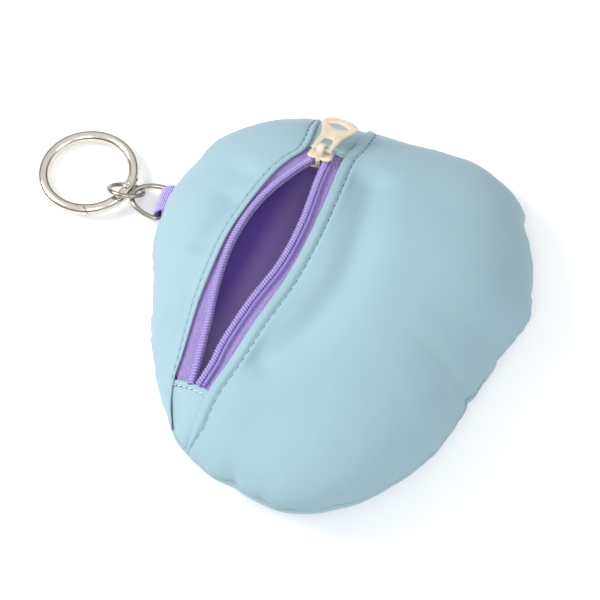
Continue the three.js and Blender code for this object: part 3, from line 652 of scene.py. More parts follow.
# Cloth finish: a close weave, faintly uneven in colour, with a soft sheen.
def clothFinish(name, base, deep):
    finish = Finish(name, Roughness=0.62, Sheen_Weight=0.25, Sheen_Roughness=0.4, Specular_IOR_Level=0.3)
    patches = finish.noise(38, 4)
    fine = finish.noise(900, 2)
    tint = finish.mix(finish.ramp(patches, 0.35, 0.68) * 0.5, base, deep)
    where = finish.node("ShaderNodeUVMap")
    warp, weft = (finish.waves(way, where, 0.75, 0.6) for way in "XY")
    weave = finish.bump(warp * 0.5 + weft * 0.5 + fine * 0.6, 0.12, 0.05)
    crumple = finish.noise(150, 3, rough=0.55)
    soft = finish.bump(crumple, 0.16, 0.9, weave)
    return finish.feed(Base_Color=tint, Roughness=0.56 + patches * 0.12, Normal=soft)


clothBlue = clothFinish("blueCloth", colour(165, 196, 209), colour(156, 187, 202))
threadBlue, threadWhite = (
    Finish(name, Base_Color=tint, Roughness=0.6, Sheen_Weight=0.3).material
    for name, tint in (("blueThread", colour(136, 184, 197)), ("whiteThread", colour(226, 238, 240))))
# Needle holes: a dark disc at each hole, its colour painted shade for the hollow of the hole.
paintedHoleShade = Finish("needleHolePaintedShade", Base_Color=colour(58, 100, 114), Roughness=0.9).material
paddingWhite = Finish("paddingFelt", Base_Color=colour(226, 224, 216), Roughness=0.95)
paddingWhite.feed(Normal=paddingWhite.bump(paddingWhite.noise(600, 4), 0.4, 0.3))
liningFinish = Finish("violetLining", Roughness=0.42, Sheen_Weight=0.3, Sheen_Roughness=0.3)
liningFolds = liningFinish.noise(26, 3, stretch=(1.6, 0.6, 1))
# Painted light: the lining floor is paler across a band right of the mouth, where light falls in past the
# left edge.
liningAcross = liningFinish.node("ShaderNodeVectorMath", {"operation": "DOT_PRODUCT"}, 1,
                                 _0=liningFinish.place(), _1=(0.906, -0.424, 0))
liningPaintedLight = liningFinish.ramp(liningAcross, -0.0425, -0.0365)  # painted light: paler right of the mouth, where light falls in past the left edge
liningShade = liningFinish.mix(liningFolds, colour(138, 108, 208), colour(158, 128, 226))
# colour(200, 172, 246) is the painted light on the lining.
liningFinish.feed(Base_Color=liningFinish.mix(liningPaintedLight, liningShade, colour(200, 172, 246)),
                  Normal=liningFinish.bump(liningFolds, 0.3, 2.5))

for made in (wide, side):
    dress(made, settle(made))
for word, made in (("wide", wide), ("side", side)):
    name = word + "ClothPanel"
    addPiece(name, [skin(made["full"], cloth["thickness"])], clothBlue, "pouch",
             ["shell_" + word + "_panel"])
print("cloth panels made")

underGrid, underAngle = undersideGrid()
underRun = runAcross(underGrid)
underAway = gridNormals(underGrid, True)
underAway *= -np.sign(underAway[..., 2:].mean())
underDepth = puckerDepth(underAngle, underRun) * cloth["underPuckers"]
underPoints = underGrid - underAway * underDepth[..., None]
underTucked = turnedIn(underPoints[:, 0], 1, cloth["underTucks"])
underFull = np.concatenate([np.array(underTucked).transpose(1, 0, 2), underPoints[:, :-1]], 1)
underFull[:, :, 2] = np.maximum(underFull[:, :, 2], 0)


def closedSkin(grid, thickness):  # a wrapped grid whose last column closes to its middle
    rows, cols = grid.shape[:2]
    points, faces, uv = skin(grid, thickness, True)
    caps = []
    for start, step in ((0, 1), (rows * cols, -1)):
        loop = np.arange(rows) * cols + cols - 1 + start
        points = np.concatenate([points, points[loop].mean(0)[None]])
        uv = np.concatenate([uv, uv[loop].mean(0)[None]])
        centre = np.full(rows, len(points) - 1)
        caps.append(np.stack([loop, np.roll(loop, -1), centre, centre], 1)[:, ::step])
    return points, np.concatenate([faces[:-rows], *caps]), uv


addPiece("undersideCloth", [closedSkin(underFull, cloth["thickness"])], clothBlue, "pouch",
         ["shell_underside"])
print("underside made")

# The tabs over the two ends of the zipper, which run in under both folds.
tabs = {
    "depth": 0.5,
    "tuck": 1.4,
    "thickness": 0.35,
    "sideDrop": 0.35,
    "puckers": 0.5,
    "groove": (1.9, 0.3, 0.5),  # along the stitches: from the free edge, depth and width
    "roll": (0.9, 0.15, 0.7),  # the rise beside the free edge
    "turned": [(2.4, -0.62), (0.6, -0.62), (0.05, -0.5), (-0.12, -0.25)],  # the cloth under the free edge
    "meanRim": 75,
    "rows": 60,
    "across": 34,
    "upper": [(-11.6, 58.8), (-5.6, 56.2), (-0.1, 52.5)],
    "lower": [(-54.3, -28.5), (-48.6, -31.9), (-43.2, -35.8)],
}


def nearest(line, spot):
    return int(np.argmin(np.linalg.norm(line - np.asarray(spot), axis=1)))


def tuckedUnder(fold, pick, way):  # a tab's side, a little under the fold, inside the rim
    line = fold[pick]
    toRim = rimAt(np.arctan2(line[:, 1], line[:, 0])) - np.hypot(line[:, 0], line[:, 1])
    tuck = np.minimum(tabs["tuck"], 0.5 * toRim)[:, None]
    return evenly(line + sideways(fold)[pick] * way * tuck, tabs["rows"])


def tab(name, edge, upper, node):
    ends = [nearest(leftFold, edge[0]), nearest(rightFold, edge[-1])]
    picks = [slice(end, None, -1 if upper else 1) for end in ends]
    leftSide, rightSide = (tuckedUnder(fold, pick, way) for fold, pick, way in
                           ((leftFold, picks[0], -1), (rightFold, picks[1], 1)))
    cross = np.linspace(0, 1, tabs["across"])[None, :, None]
    edgeLine = evenly(np.vstack([leftSide[:1], np.asarray(edge, float)[1:-1], rightSide[:1]]), tabs["across"])
    flat = leftSide[:, None] * (1 - cross) + rightSide[:, None] * cross
    fade = (1 - np.linspace(0, 1, tabs["rows"]))[:, None, None] ** 2
    flat = flat + (edgeLine - flat[0])[None] * fade
    share = shareAt(flat)
    toEdge = ease((np.linspace(0, 1, tabs["rows"]) - 0.7) / 0.3)[:, None]
    flat = flat * ((1 + (1 / share[-1:] - 1) * toEdge) / np.maximum(share, 1))[..., None]
    arch = 4 * cross[..., 0] * (1 - cross[..., 0])
    toRim = (1 - np.minimum(shareAt(flat), 1)) * tabs["meanRim"]
    pucker = puckerDepth(np.arctan2(flat[..., 1], flat[..., 0]), toRim)
    lift = -tabs["depth"] - tabs["sideDrop"] * (1 - arch) - tabs["puckers"] * pucker
    run = np.linalg.norm(flat - flat[0][None], axis=-1)
    for (place, height, width), way in ((tabs["groove"], -1), (tabs["roll"], 1)):
        lift = lift + way * height * hump(run - place, width)
    surface = crown(flat) + crownNormal(flat * justInside) * lift[..., None]
    way = unit(flat[1] - flat[0])
    under = []
    for back, drop in tabs["turned"]:
        spot = flat[0] + way * back
        under.append(crown(spot) + crownNormal(spot) * (lift[0] + drop)[:, None])
    grid = np.concatenate([np.array(under), surface])
    addPiece(name, [skin(grid, tabs["thickness"])], clothBlue, "pouch", [node])
    return surface


upperSurface = tab("upperTab", tabs["upper"], True, "end_tab_upper")
lowerSurface = tab("lowerTab", tabs["lower"], False, "end_tab_lower")

# Padding and lining, one inside the other.
layers = {
    "paddingDepth": 1.05,
    "padding": 1.5,
    "liningDepth": 2.95,
    "lining": 0.45,
    "behindFold": 1.5,
    "mouthLines": (110, 90),  # right and left
    "rimTurn": (94, 222),  # from the slider's end to the far end
    "rows": 34,
    "spare": {"wide": (16, 16), "side": (16, 72)},  # lines without padding at the narrow ends
}
for word, made in (("wide", wide), ("side", side)):
    name = word + "Padding"
    part = slice(len(nearRows), -3)
    ends = slice(layers["spare"][word][0], -layers["spare"][word][1])
    grid = (made["points"][ends, part] - made["away"][ends, part] * layers["paddingDepth"])[::3, ::2]
    addPiece(name, [skin(grid, layers["padding"])], paddingWhite.material, "pouch",
             ["wadding_" + word + "_panel"])
for kind, slot, look in (("padding", "wadding", paddingWhite), ("lining", "lining", liningFinish)):
    grid = undersideGrid(layers[kind + "Depth"], 180, 40)[0][:, 2:-1]
    addPiece("underside" + kind.title(), [closedSkin(grid, layers[kind])], look.material, "pouch",
             [slot + "_underside"])

mouthLeft, mouthRight = (fold[nearest(fold, tabs["upper"][end]):nearest(fold, tabs["lower"][end])]
                         for fold, end in ((leftFold, 0), (rightFold, -1)))
rightLines, leftLines = layers["mouthLines"]
loop = np.vstack([evenly(mouthRight + sideways(mouthRight) * layers["behindFold"], rightLines),
                  evenly(mouthLeft - sideways(mouthLeft) * layers["behindFold"], leftLines)[::-1]])
topAngle, lowAngle = np.radians(layers["rimTurn"])
angle = np.concatenate([np.linspace(topAngle, lowAngle - fullTurn, rightLines),
                        np.linspace(lowAngle - fullTurn, topAngle - fullTurn, leftLines + 2)[1:-1]])
rimPlan = (rimAt(angle) - layers["liningDepth"])[:, None] * np.stack([np.cos(angle), np.sin(angle)], 1)
t = np.linspace(0, justInside, layers["rows"])[None, :, None]
liningPlan = loop[:, None] * (1 - t) + rimPlan[:, None] * t
liningGrid = crown(liningPlan, layers["liningDepth"])
liningGrid[..., 2] -= dentDepth(liningPlan) * ease(np.linspace(0, 1, layers["rows"]) / 0.12)
addPiece("topLining", [skin(liningGrid, layers["lining"], True)], liningFinish.material, "pouch",
         ["lining_top"])
print("padding and lining made")

# Zipper
zipper = {
    "ahead": (-0.4293, -0.9032),
    "rest": (-7.46, 52.26),
    "end": (-47.8, -32.6),
    "meeting": [(-3.45, 0.15), (-1, 0.15), (2.1, 1.1)],  # each coil near the slider: ahead and aside
    "farMeeting": (-0.3, 0.15),
    "left": [(-15.2, 45.9), (-26.8, 33.6), (-35.4, 18.5), (-39.9, 4.1), (-42.7, -10.9), (-45.8, -24.9)],
    "right": [(-10.1, 41.2), (-15, 24.3), (-21.8, 8.9), (-31.6, -5.2), (-39.9, -18.8), (-43.1, -25.5)],
    "points": 260,
    "ridge": 1.2,  # middle of the coil, from its inner edge
    "coilHeight": 1.5,
    "coilProud": 0.6,
    "core": {"left": (0.9, 0.5), "right": (0.86, 0.45)},  # half width and half height under the teeth
    "cord": 2.85,
    "cordDrop": 0.45,
    "cordHalf": (0.55, 0.5),
    "toothPitch": 1.0,
    "slant": {"left": 10, "right": -24},
    "unevenness": 0.05,
    "seamEnds": [(-5.85, 55.6), (-48.8, -32.1)],
    "seamIn": 3.6,  # from the fold
    "tapeReach": 0.92,  # share of the rim
    "tapeStart": 0.35,
    "tapeRows": 220,
    "tapeDepth": 1.2,
    "sag": (3.4, 0.16, 0.9),  # beside the coil: from the tape's start, depth and width
    "tapeThickness": 0.55,
}
aheadWay = np.array(zipper["ahead"])
rightWay = np.array([-aheadWay[1], aheadWay[0]])
tapeFinish = Finish("violetTape", Roughness=0.75, Sheen_Weight=0.3)
streaks = tapeFinish.node("ShaderNodeTexNoise", Scale=1, Detail=3, Vector=tapeFinish.node(
    "ShaderNodeMapping", Vector=tapeFinish.node("ShaderNodeUVMap"), Scale=(0.55, 3.4, 1)))
tapeRibs = tapeFinish.waves("Y", tapeFinish.node("ShaderNodeUVMap"), 0.42, 1.2)
tapeShade = tapeFinish.ramp(streaks, 0.36, 0.66)
tapeFinish.feed(Base_Color=tapeFinish.mix(tapeShade, colour(142, 122, 190), colour(172, 153, 210)),
                Normal=tapeFinish.bump(tapeRibs * 0.6 + streaks, 0.5, 0.25))
coilFinish = Finish("violetCoil", Base_Color=colour(175, 161, 218), Roughness=0.38, Specular_IOR_Level=0.5)
coilFinish.feed(Roughness=0.34 + coilFinish.noise(500, 2) * 0.12)
cordFinish = Finish("violetCord", Base_Color=colour(150, 130, 208), Roughness=0.6, Sheen_Weight=0.2)
cordFinish.feed(Normal=cordFinish.bump(cordFinish.noise(1400, 2), 0.4, 0.1))


def coilEdge(pairs, side):
    near = [zipper["rest"] + aheadWay * ahead + rightWay * side * aside for ahead, aside in zipper["meeting"]]
    ahead, aside = zipper["farMeeting"]
    return splinePoints([*near, *pairs, zipper["end"] + aheadWay * ahead + rightWay * side * aside],
                        zipper["points"])


def tube(line, ups, halfWidth, halfHeight, sides, squareness=2.0):
    way = unit(np.gradient(line, axis=0))
    across = unit(np.cross(ups, way))
    ups = np.cross(way, across)
    turn = np.linspace(0, fullTurn, sides, endpoint=False)
    c, s = np.cos(turn), np.sin(turn)
    c, s = (np.sign(v) * np.abs(v) ** (2 / squareness) for v in (c, s))
    ring = (line[:, None] + across[:, None] * (c * halfWidth)[None, :, None]
            + ups[:, None] * (s * halfHeight)[None, :, None])
    count = len(line)
    faces = gridFaces(sides, count, 0, True)
    points = ring.transpose(1, 0, 2).reshape(-1, 3)
    run = runOf(line)
    girth = (halfWidth + halfHeight) * math.pi
    uv = np.stack([np.tile(run, sides), np.repeat(turn / fullTurn * girth, count)], 1)
    caps = []
    for end, flip in ((0, False), (count - 1, True)):
        points = np.concatenate([points, ring[end].mean(0)[None]])
        uv = np.concatenate([uv, uv[end][None]])
        rimIndex = np.arange(sides) * count + end
        centre = np.full(sides, len(points) - 1)
        cap = np.stack([rimIndex, centre, centre, np.roll(rimIndex, -1)], 1)
        caps.append(cap if flip else cap[:, ::-1])
    return points, np.concatenate([faces[:, ::-1], *caps]), uv


# Sets copies of a small item along a line, turned to face the way it runs and its own up.
def repeatTree():
    tree = bpy.data.node_groups.new("repeatAlong", "GeometryNodeTree")
    for name, kind in (("Line", "Geometry"), ("Item", "Object"), ("Spacing", "Float"), ("Slant", "Float"),
                       ("Unevenness", "Float"), ("Seed", "Int"), ("Finish", "Material")):
        tree.interface.new_socket(name, in_out="INPUT", socket_type="NodeSocket" + kind)
    tree.interface.new_socket("Copies", in_out="OUTPUT", socket_type="NodeSocketGeometry")
    nodes = {word: tree.nodes.new(kind) for word, kind in {
        "given": "NodeGroupInput",
        "curve": "GeometryNodeMeshToCurve",
        "spaced": "GeometryNodeResampleCurve",
        "item": "GeometryNodeObjectInfo",
        "copies": "GeometryNodeInstanceOnPoints",
        "up": "GeometryNodeInputNamedAttribute",
        "way": "GeometryNodeInputTangent",
        "facing": "FunctionNodeAxesToRotation",
        "slanted": "FunctionNodeRotateRotation",
        "slant": "ShaderNodeCombineXYZ",
        "chance": "FunctionNodeRandomValue",
        "low": "ShaderNodeMath",
        "high": "ShaderNodeMath",
        "real": "GeometryNodeRealizeInstances",
        "smooth": "GeometryNodeSetShadeSmooth",
        "painted": "GeometryNodeSetMaterial",
        "result": "NodeGroupOutput",
    }.items()}
    nodes["spaced"].mode = "LENGTH"
    nodes["up"].data_type = nodes["chance"].data_type = "FLOAT_VECTOR"
    nodes["up"].inputs["Name"].default_value = "up"
    nodes["facing"].primary_axis, nodes["facing"].secondary_axis = "Z", "X"
    nodes["slanted"].rotation_space = "LOCAL"
    for word, operation in (("low", "SUBTRACT"), ("high", "ADD")):
        nodes[word].operation = operation
        nodes[word].inputs[0].default_value = 1
    for source, out, target, entry in (
            ("given", "Line", "curve", 0),
            ("curve", 0, "spaced", 0),
            ("given", "Spacing", "spaced", "Length"),
            ("spaced", 0, "copies", "Points"),
            ("given", "Item", "item", 0),
            ("item", "Geometry", "copies", "Instance"),
            ("up", 0, "facing", "Primary Axis"),
            ("way", 0, "facing", "Secondary Axis"),
            ("facing", 0, "slanted", 0),
            ("given", "Slant", "slant", 2),
            ("slant", 0, "slanted", 1),
            ("slanted", 0, "copies", "Rotation"),
            ("given", "Unevenness", "low", 1),
            ("given", "Unevenness", "high", 1),
            ("low", 0, "chance", 0),
            ("high", 0, "chance", 1),
            ("given", "Seed", "chance", "Seed"),
            ("chance", 0, "copies", "Scale"),
            ("copies", 0, "real", 0),
            ("real", 0, "smooth", 0),
            ("smooth", 0, "painted", 0),
            ("given", "Finish", "painted", "Material"),
            ("painted", 0, "result", 0)):
        tree.links.new(nodes[source].outputs[out], nodes[target].inputs[entry])
    return tree


repeatAlong = repeatTree()
items = []  # shapes that are only copied


def shapeItem(name, shells):
    item = meshObject(name, *joined(shells))
    item.hide_render = True
    items.append(item)
    return item


def repeated(name, lines, item, spacing, finish, slant, unevenness, seed):
    points, ups, edges = [], [], []
    for line, lineUps in lines:
        start = sum(len(part) for part in points)
        edges += [(start + i, start + i + 1) for i in range(len(line) - 1)]
        points.append(line)
        ups.append(lineUps)
    carrier = meshObject(name, np.concatenate(points), [], edges)
    held = carrier.data.attributes.new("up", "FLOAT_VECTOR", "POINT")
    held.data.foreach_set("vector", np.concatenate(ups).astype(np.float32).ravel())
    nodes = carrier.modifiers.new("copies", "NODES")
    nodes.node_group = repeatAlong
    given = {"Item": item, "Spacing": spacing * mm, "Slant": math.radians(slant), "Unevenness": unevenness,
             "Seed": seed, "Finish": finish}
    for entry in repeatAlong.interface.items_tree:
        if entry.in_out == "INPUT" and entry.name in given:
            nodes[entry.identifier] = given[entry.name]
    made = evaluated(carrier)
    if "up" in made.attributes:
        made.attributes.remove(made.attributes["up"])
    piece = bpy.data.objects.new(name, made)
    bpy.context.collection.objects.link(piece)
    finishPiece(piece, finish, "pouch")


def arcTube(halfWidth, halfHeight, wire, fromAngle, toAngle, steps, sides):
    turn = np.radians(np.linspace(fromAngle, toAngle, steps))
    line = np.stack([0 * turn, np.cos(turn) * halfWidth, np.sin(turn) * halfHeight], 1)
    ups = np.stack([0 * turn, np.cos(turn), np.sin(turn)], 1)
    return tube(line, ups, wire, wire, sides)


coilMiddle = zipper["coilProud"] - zipper["coilHeight"] / 2
toothFull = shapeItem("toothFull", [arcTube(0.96, 0.48, 0.31, -35, 215, 9, 6)])
toothHalf = shapeItem("toothHalf", [arcTube(0.98, 0.48, 0.3, -40, 220, 10, 6)])


def core(plan, drop, halfWidth, halfHeight):  # a cord over plan points, with its line and ups
    line, ups = overCrown(plan, coilMiddle - drop), crownNormal(plan)
    return tube(line, ups, halfWidth, halfHeight, 10), (line, ups)


for name, sign, fold, item in (("left", -1, leftFold, toothFull), ("right", 1, rightFold, toothHalf)):
    edge = coilEdge(zipper[name], sign)
    outward = sideways(edge) * sign
    shell, teethLine = core(edge + outward * zipper["ridge"], 0, *zipper["core"][name])
    shells = [shell]
    if name == "right":
        shells.append(core(edge + outward * zipper["cord"], zipper["cordDrop"], *zipper["cordHalf"])[0])
    addPiece(name + "Coil", shells, cordFinish.material, "pouch", ["zipper_coil_" + name])
    repeated(name + "CoilTeeth", [teethLine], item, zipper["toothPitch"], coilFinish.material,
             zipper["slant"][name], zipper["unevenness"], 3 + sign)
    # The tape runs from under its coil to under the fold.
    first, last = (nearest(fold, p) for p in zipper["seamEnds"])
    sewn = slice(max(first - 6, 0), last + 6)
    seam = evenly(fold[sewn] + sideways(fold)[sewn] * sign * zipper["seamIn"], zipper["tapeRows"])
    seam /= np.maximum(shareAt(seam) / zipper["tapeReach"], 1)[:, None]
    start = evenly(edge + outward * zipper["tapeStart"], zipper["tapeRows"])
    across = np.linspace(0, 1, 30)[None, :, None]
    reachIn = across[..., 0] * np.linalg.norm(seam - start, axis=1)[:, None]
    place, depth, width = zipper["sag"]
    surface = overCrown(start[:, None] * (1 - across) + seam[:, None] * across,
                        -zipper["tapeDepth"] - depth * hump(reachIn - place, width))
    addPiece(name + "Tape", [skin(surface, zipper["tapeThickness"])], tapeFinish.material, "pouch",
             ["zipper_tape_" + name])
print("zipper made")

# Stitches: a thread that dips into a small hole at each end. Each hole is a dark disc whose colour is painted
# shade.
stitches = {
    "pitch": 3.15,
    "length": 2.5,
    "thread": (0.21, 0.168),  # half the width and half the height
    "rise": 0.13,
    "dip": 0.42,
    "hole": (0.52, 0.4),
    "lift": (0.04, 0.16),  # on the wide panel and on the side panel
    "seed": 7,
    "tabPitch": 2.0,
    "tabThread": (0.2, 0.16),
}
half = stitches["length"] / 2
run = np.linspace(-half, half, 11)
threadLine = np.stack([run, 0 * run, stitches["rise"] - stitches["dip"] * np.abs(run / half) ** 4], 1)
threadUps = np.tile([0.0, 0, 1], (11, 1))
stitchItem = shapeItem("stitchItem", [tube(threadLine, threadUps, *stitches["thread"], 6)])
shortStitch = shapeItem("shortStitch", [tube(threadLine * [0.6, 1, 1], threadUps, *stitches["tabThread"], 6)])
holeTurn = np.linspace(0, fullTurn, 9)[:-1]
holeLine = np.stack([np.cos(holeTurn), np.sin(holeTurn), 0 * holeTurn], 1) * [*stitches["hole"], 1]
hole = np.concatenate([[[0, 0, 0.06]], holeLine + [0, 0, 0.07], holeLine * 0.7 + [0, 0, -0.12]])
holeFaces = np.array([[0, 1 + i, 1 + i, 1 + (i + 1) % 8] for i in range(8)]
                     + [[1 + i, 9 + i, 9 + (i + 1) % 8, 1 + (i + 1) % 8] for i in range(8)]
                     + [[9 + i, 9, 9, 9 + (i + 1) % 8] for i in range(1, 7)])
holeItem = shapeItem("holeItem", [(hole, holeFaces)])
smallHole = shapeItem("smallHole", [(hole * [0.62, 0.75, 1], holeFaces)])
stitchLines, holeLines = [], []
for made, stop in ((wide, -4), (side, nearest(leftFold, tabs["lower"][0]))):
    column = int(np.argmin(np.abs(nearRows - made["stitch"])))
    line, ups = made["points"][4:stop, column], made["away"][4:stop, column]
    at = np.linspace(0, runOf(line)[-1], 900)
    fineUps = unit(np.stack([np.interp(at, runOf(line), ups[:, k]) for k in range(3)], 1))
    raised = along(line, at) + fineUps * stitches["lift"][made is side]
    shifted = at > stitches["pitch"] / 2
    stitchLines.append((raised, fineUps))
    holeLines.append((raised[shifted], fineUps[shifted]))
tabLines, tabHoles = [], []
for surface in (upperSurface, lowerSurface):
    distance = np.linalg.norm(surface[:, 17] - surface[0, 17], axis=1)
    line = evenly(surface[int(np.argmin(np.abs(distance - tabs["groove"][0]))), 3:-3], 200)
    ups = crownNormal(line[:, :2])
    tabLines.append((line + ups * 0.08, ups))
    tabHoles.append((line[16:] + ups[16:] * 0.06, ups[16:]))
for name, lines, item, pitch, finish, slant, unevenness, seed in (
        ("mouthStitches", stitchLines, stitchItem, "pitch", threadBlue, 3, 0.04, stitches["seed"]),
        ("mouthNeedleHoles", holeLines, holeItem, "pitch", paintedHoleShade, 0, 0.12, stitches["seed"]),
        ("tabStitches", tabLines, shortStitch, "tabPitch", threadWhite, 8, 0.08, 2),
        ("tabNeedleHoles", tabHoles, smallHole, "tabPitch", paintedHoleShade, 0, 0.15, 5)):
    repeated(name, lines, item, stitches[pitch], finish, slant, unevenness, seed)
print("stitches made")


# Slider and pull, in the slider's own frame: x ahead, z out of the cloth.
def placed(points, spot):
    origin, x, z = (np.array(v, float) for v in spot)
    x, z = unit(x), unit(z)
    y = np.cross(z, x)
    points = np.asarray(points, float)
    return origin + points[..., :1] * x + points[..., 1:2] * y + points[..., 2:3] * z


def turned(ways, spot):
    return placed(ways, ((0, 0, 0), *spot[1:]))


sliderSpot = ((-7.459, 52.263, 29.733), (-0.4415, -0.8578, 0.2631), (0.0188, 0.2844, 0.9585))
pullSpot = ((-7.401, 53.131, 32.656), (0.4415, 0.8578, -0.2631), (0.0188, 0.2844, 0.9585))
paint = Finish("creamPaint", Roughness=0.36, Coat_Weight=0.35, Coat_Roughness=0.2, Specular_IOR_Level=0.5)
paintCloud = paint.noise(420, 3)
paintShade = paint.ramp(paintCloud, 0.3, 0.75)
paint.feed(Base_Color=paint.mix(paintShade, colour(238, 224, 204), colour(228, 211, 188)),
           Roughness=0.3 + paintCloud * 0.16, Normal=paint.bump(paintCloud, 0.12, 0.2))


# A flat plate with rounded edges, from outlines in its own plane, put in place.
def plate(outlines, bottom, top, rounding, spot):
    curve = bpy.data.curves.new("plate", "CURVE")
    curve.dimensions, curve.fill_mode = "2D", "BOTH"
    curve.extrude = (top - bottom) / 2 - rounding
    curve.bevel_depth, curve.bevel_resolution, curve.offset = rounding, 3, -rounding
    for outline in outlines:
        spline = curve.splines.new("POLY")
        spline.points.add(len(outline) - 1)
        spline.use_cyclic_u = True
        spline.points.foreach_set("co", [v for x, y in outline for v in (x, y, 0, 1)])
    carrier = bpy.data.objects.new("plate", curve)
    bpy.context.collection.objects.link(carrier)
    mesh = evaluated(carrier)
    corners = np.zeros(len(mesh.vertices) * 3)
    mesh.vertices.foreach_get("co", corners)
    faces = [tuple(face.vertices) for face in mesh.polygons]
    return placed(corners.reshape(-1, 3) + [0, 0, (top + bottom) / 2], spot), faces


def ringed(half):  # a closed outline from its upper half, front to back
    half = np.asarray(half, float)
    whole = np.vstack([half, half[::-1][1:-1] * [1, -1]])
    q = np.vstack([whole[-1:], whole, whole[:2]])
    i = np.repeat(np.arange(len(whole)), 8)
    f = np.tile(np.linspace(0, 1, 8, endpoint=False), len(whole))[:, None]
    return through(q[i], q[i + 1], q[i + 2], q[i + 3], f)


def bezier(count, *controls):
    t = np.linspace(0, 1, count, endpoint=False)[:, None]
    last = len(controls) - 1
    return sum(math.comb(last, k) * (1 - t) ** (last - k) * t ** k * np.array(spot, float)
               for k, spot in enumerate(controls))


def mirrored(half, tip):  # a half outline, its tip on the axis, and the half again below the axis
    return np.vstack([half, [tip], half[::-1] * [1, -1]])


def addParts(name, parts, finish, body, replaced, bevel=None):
    piece = meshObject(name, *joined(parts))
    mesh = piece.data
    mesh.uv_layers.new(name="lengths")
    clean = bmesh.new()
    clean.from_mesh(mesh)
    bmesh.ops.remove_doubles(clean, verts=clean.verts, dist=0.002 * mm)
    bmesh.ops.recalc_face_normals(clean, faces=clean.faces)
    clean.to_mesh(mesh)
    clean.free()
    mesh.polygons.foreach_set("use_smooth", [True] * len(mesh.polygons))
    mesh.update()
    mesh.set_sharp_from_angle(angle=math.radians(40))
    finishPiece(piece, finish, body, replaced, bevel)


sliderShape = {
    "plate": [(3.0, 0), (3.05, 1.0), (3.35, 1.9), (3.3, 2.9), (2.7, 3.8), (1.6, 4.15), (0.2, 3.95),
              (-1.2, 3.4), (-2.5, 2.5), (-3.2, 1.3), (-3.3, 0)],
    "rail": [(-2.3, 3.15), (0.4, 3.25), (0.7, 3.9), (0.2, 4.05), (-1.2, 3.5), (-2.4, 2.75)],
    "upper": (0.85, 1.75, 0.34),  # bottom, top and rounding
    "lower": (-2.9, -2.1, 0.3),
    "railSpan": (-0.7, 1.5, 0.12),
    "lowerShare": 0.97,
    "crown": (2.1, 3.0),
    "crownSunk": 0.25,
    "crownHalf": (1.2, 0.62),
    "noseHalf": (0.8, 0.75),
}
outline = ringed(sliderShape["plate"])
parts = [plate([outline], *sliderShape["upper"], sliderSpot),
         plate([outline * sliderShape["lowerShare"]], *sliderShape["lower"], sliderSpot)]
for sign in (-1, 1):
    rail = np.array(sliderShape["rail"]) * [1, sign]
    parts.append(plate([rail[::sign]], *sliderShape["railSpan"], sliderSpot))
noseRun = np.linspace(0, 1, 12)
nose = np.stack([2.2 + 0.75 * np.sin(noseRun * math.pi * 0.5), 0 * noseRun, -2.4 + 3.4 * noseRun], 1)
noseUps = np.tile([1.0, 0, 0], (12, 1))
parts.append(tube(placed(nose, sliderSpot), turned(noseUps, sliderSpot), *sliderShape["noseHalf"], 14, 2.4))
turn = np.linspace(0, math.pi, 26)
archX, archZ = sliderShape["crown"]
archFoot = sliderShape["upper"][1] - sliderShape["crownSunk"]
arch = np.stack([np.cos(turn) * archX, 0 * turn, archFoot + np.sin(turn) * archZ], 1)
archUps = np.stack([np.cos(turn) / archX, 0 * turn, np.sin(turn) / archZ], 1)
parts.append(tube(placed(arch, sliderSpot), turned(unit(archUps), sliderSpot), *sliderShape["crownHalf"],
                  16, 2.8))
addParts("sliderBody", parts, paint.material, "slider", ["zipper_slider"])

pullShape = {
    "half": 0.625,  # of the thickness
    "rounding": 0.42,
    "tip": (16.9, 0),
    "windowEnd": (5.95, 0.6),
    "lens": (12.85, 3.8, 2.9),  # middle, half height and bow
}
pullHalf = np.vstack([bezier(6, (-0.55, 3.1), (-0.55, 3.6), (-0.3, 3.6), (0.3, 3.6)),
                      bezier(20, (0.3, 3.6), (6.76, 3.6), (7.6, 3.6), (11.83, 5.67)),
                      bezier(24, (11.83, 5.67), (15.55, 7.875), (16.9, 3.78), pullShape["tip"])])
windowHalf = np.vstack([bezier(6, (0.6, 0.8), (0.6, 1.7), (0.9, 1.7), (1.5, 1.7)),
                        bezier(10, (1.5, 1.7), (5, 1.75), (5.95, 1.6), pullShape["windowEnd"])])
lensMiddle, lensHalf, lensBow = pullShape["lens"]
lensHole = np.vstack([bezier(14, (lensMiddle, -lensHalf * way), (lensMiddle + lensBow * way, 0),
                             (lensMiddle, lensHalf * way)) for way in (1, -1)])
pullOutlines = [mirrored(pullHalf, pullShape["tip"]), mirrored(windowHalf, pullShape["windowEnd"]), lensHole]
pullPlate = plate(pullOutlines, -pullShape["half"], pullShape["half"], pullShape["rounding"], pullSpot)
addParts("pullTab", [pullPlate], paint.material, "pull", ["pull_tab"])
print("slider and pull made")

# Webbing, whose path is seen from its side: along the loop and up.
webbing = {
    "bar": (-59.607, 50.408, 4.3),
    "angle": 164.1,
    "width": 10,
    "thickness": 0.75,
    "ribPitch": 0.82,
    "ribHeight": 0.16,
    "over": [(-5.2, 5.28), (-3.4, 5.28), (-1.4, 4.95), (0.5, 3.9), (1.7, 2.4), (2.35, 0.6), (2.1, -0.9)],
    "back": [(-1.35, 2.2), (-1.5, 3.3), (-2.3, 4.2), (-3.4, 4.48), (-5.2, 4.48)],
    "roundBar": 1.56,
    "wrap": (62, -198),
    "edgeDrop": 0.12,
}
loopAngle = math.radians(webbing["angle"])
barSpot = (webbing["bar"], (math.cos(loopAngle), math.sin(loopAngle), 0), (0, 0, 1))
wrap = np.radians(np.linspace(*webbing["wrap"], 14))[5:]
roundBar = np.stack([np.cos(wrap), np.sin(wrap)], 1) * webbing["roundBar"]
webLine = splinePoints(np.vstack([webbing["over"], roundBar, webbing["back"]]), 190)
webRun = runOf(webLine)[:, None]
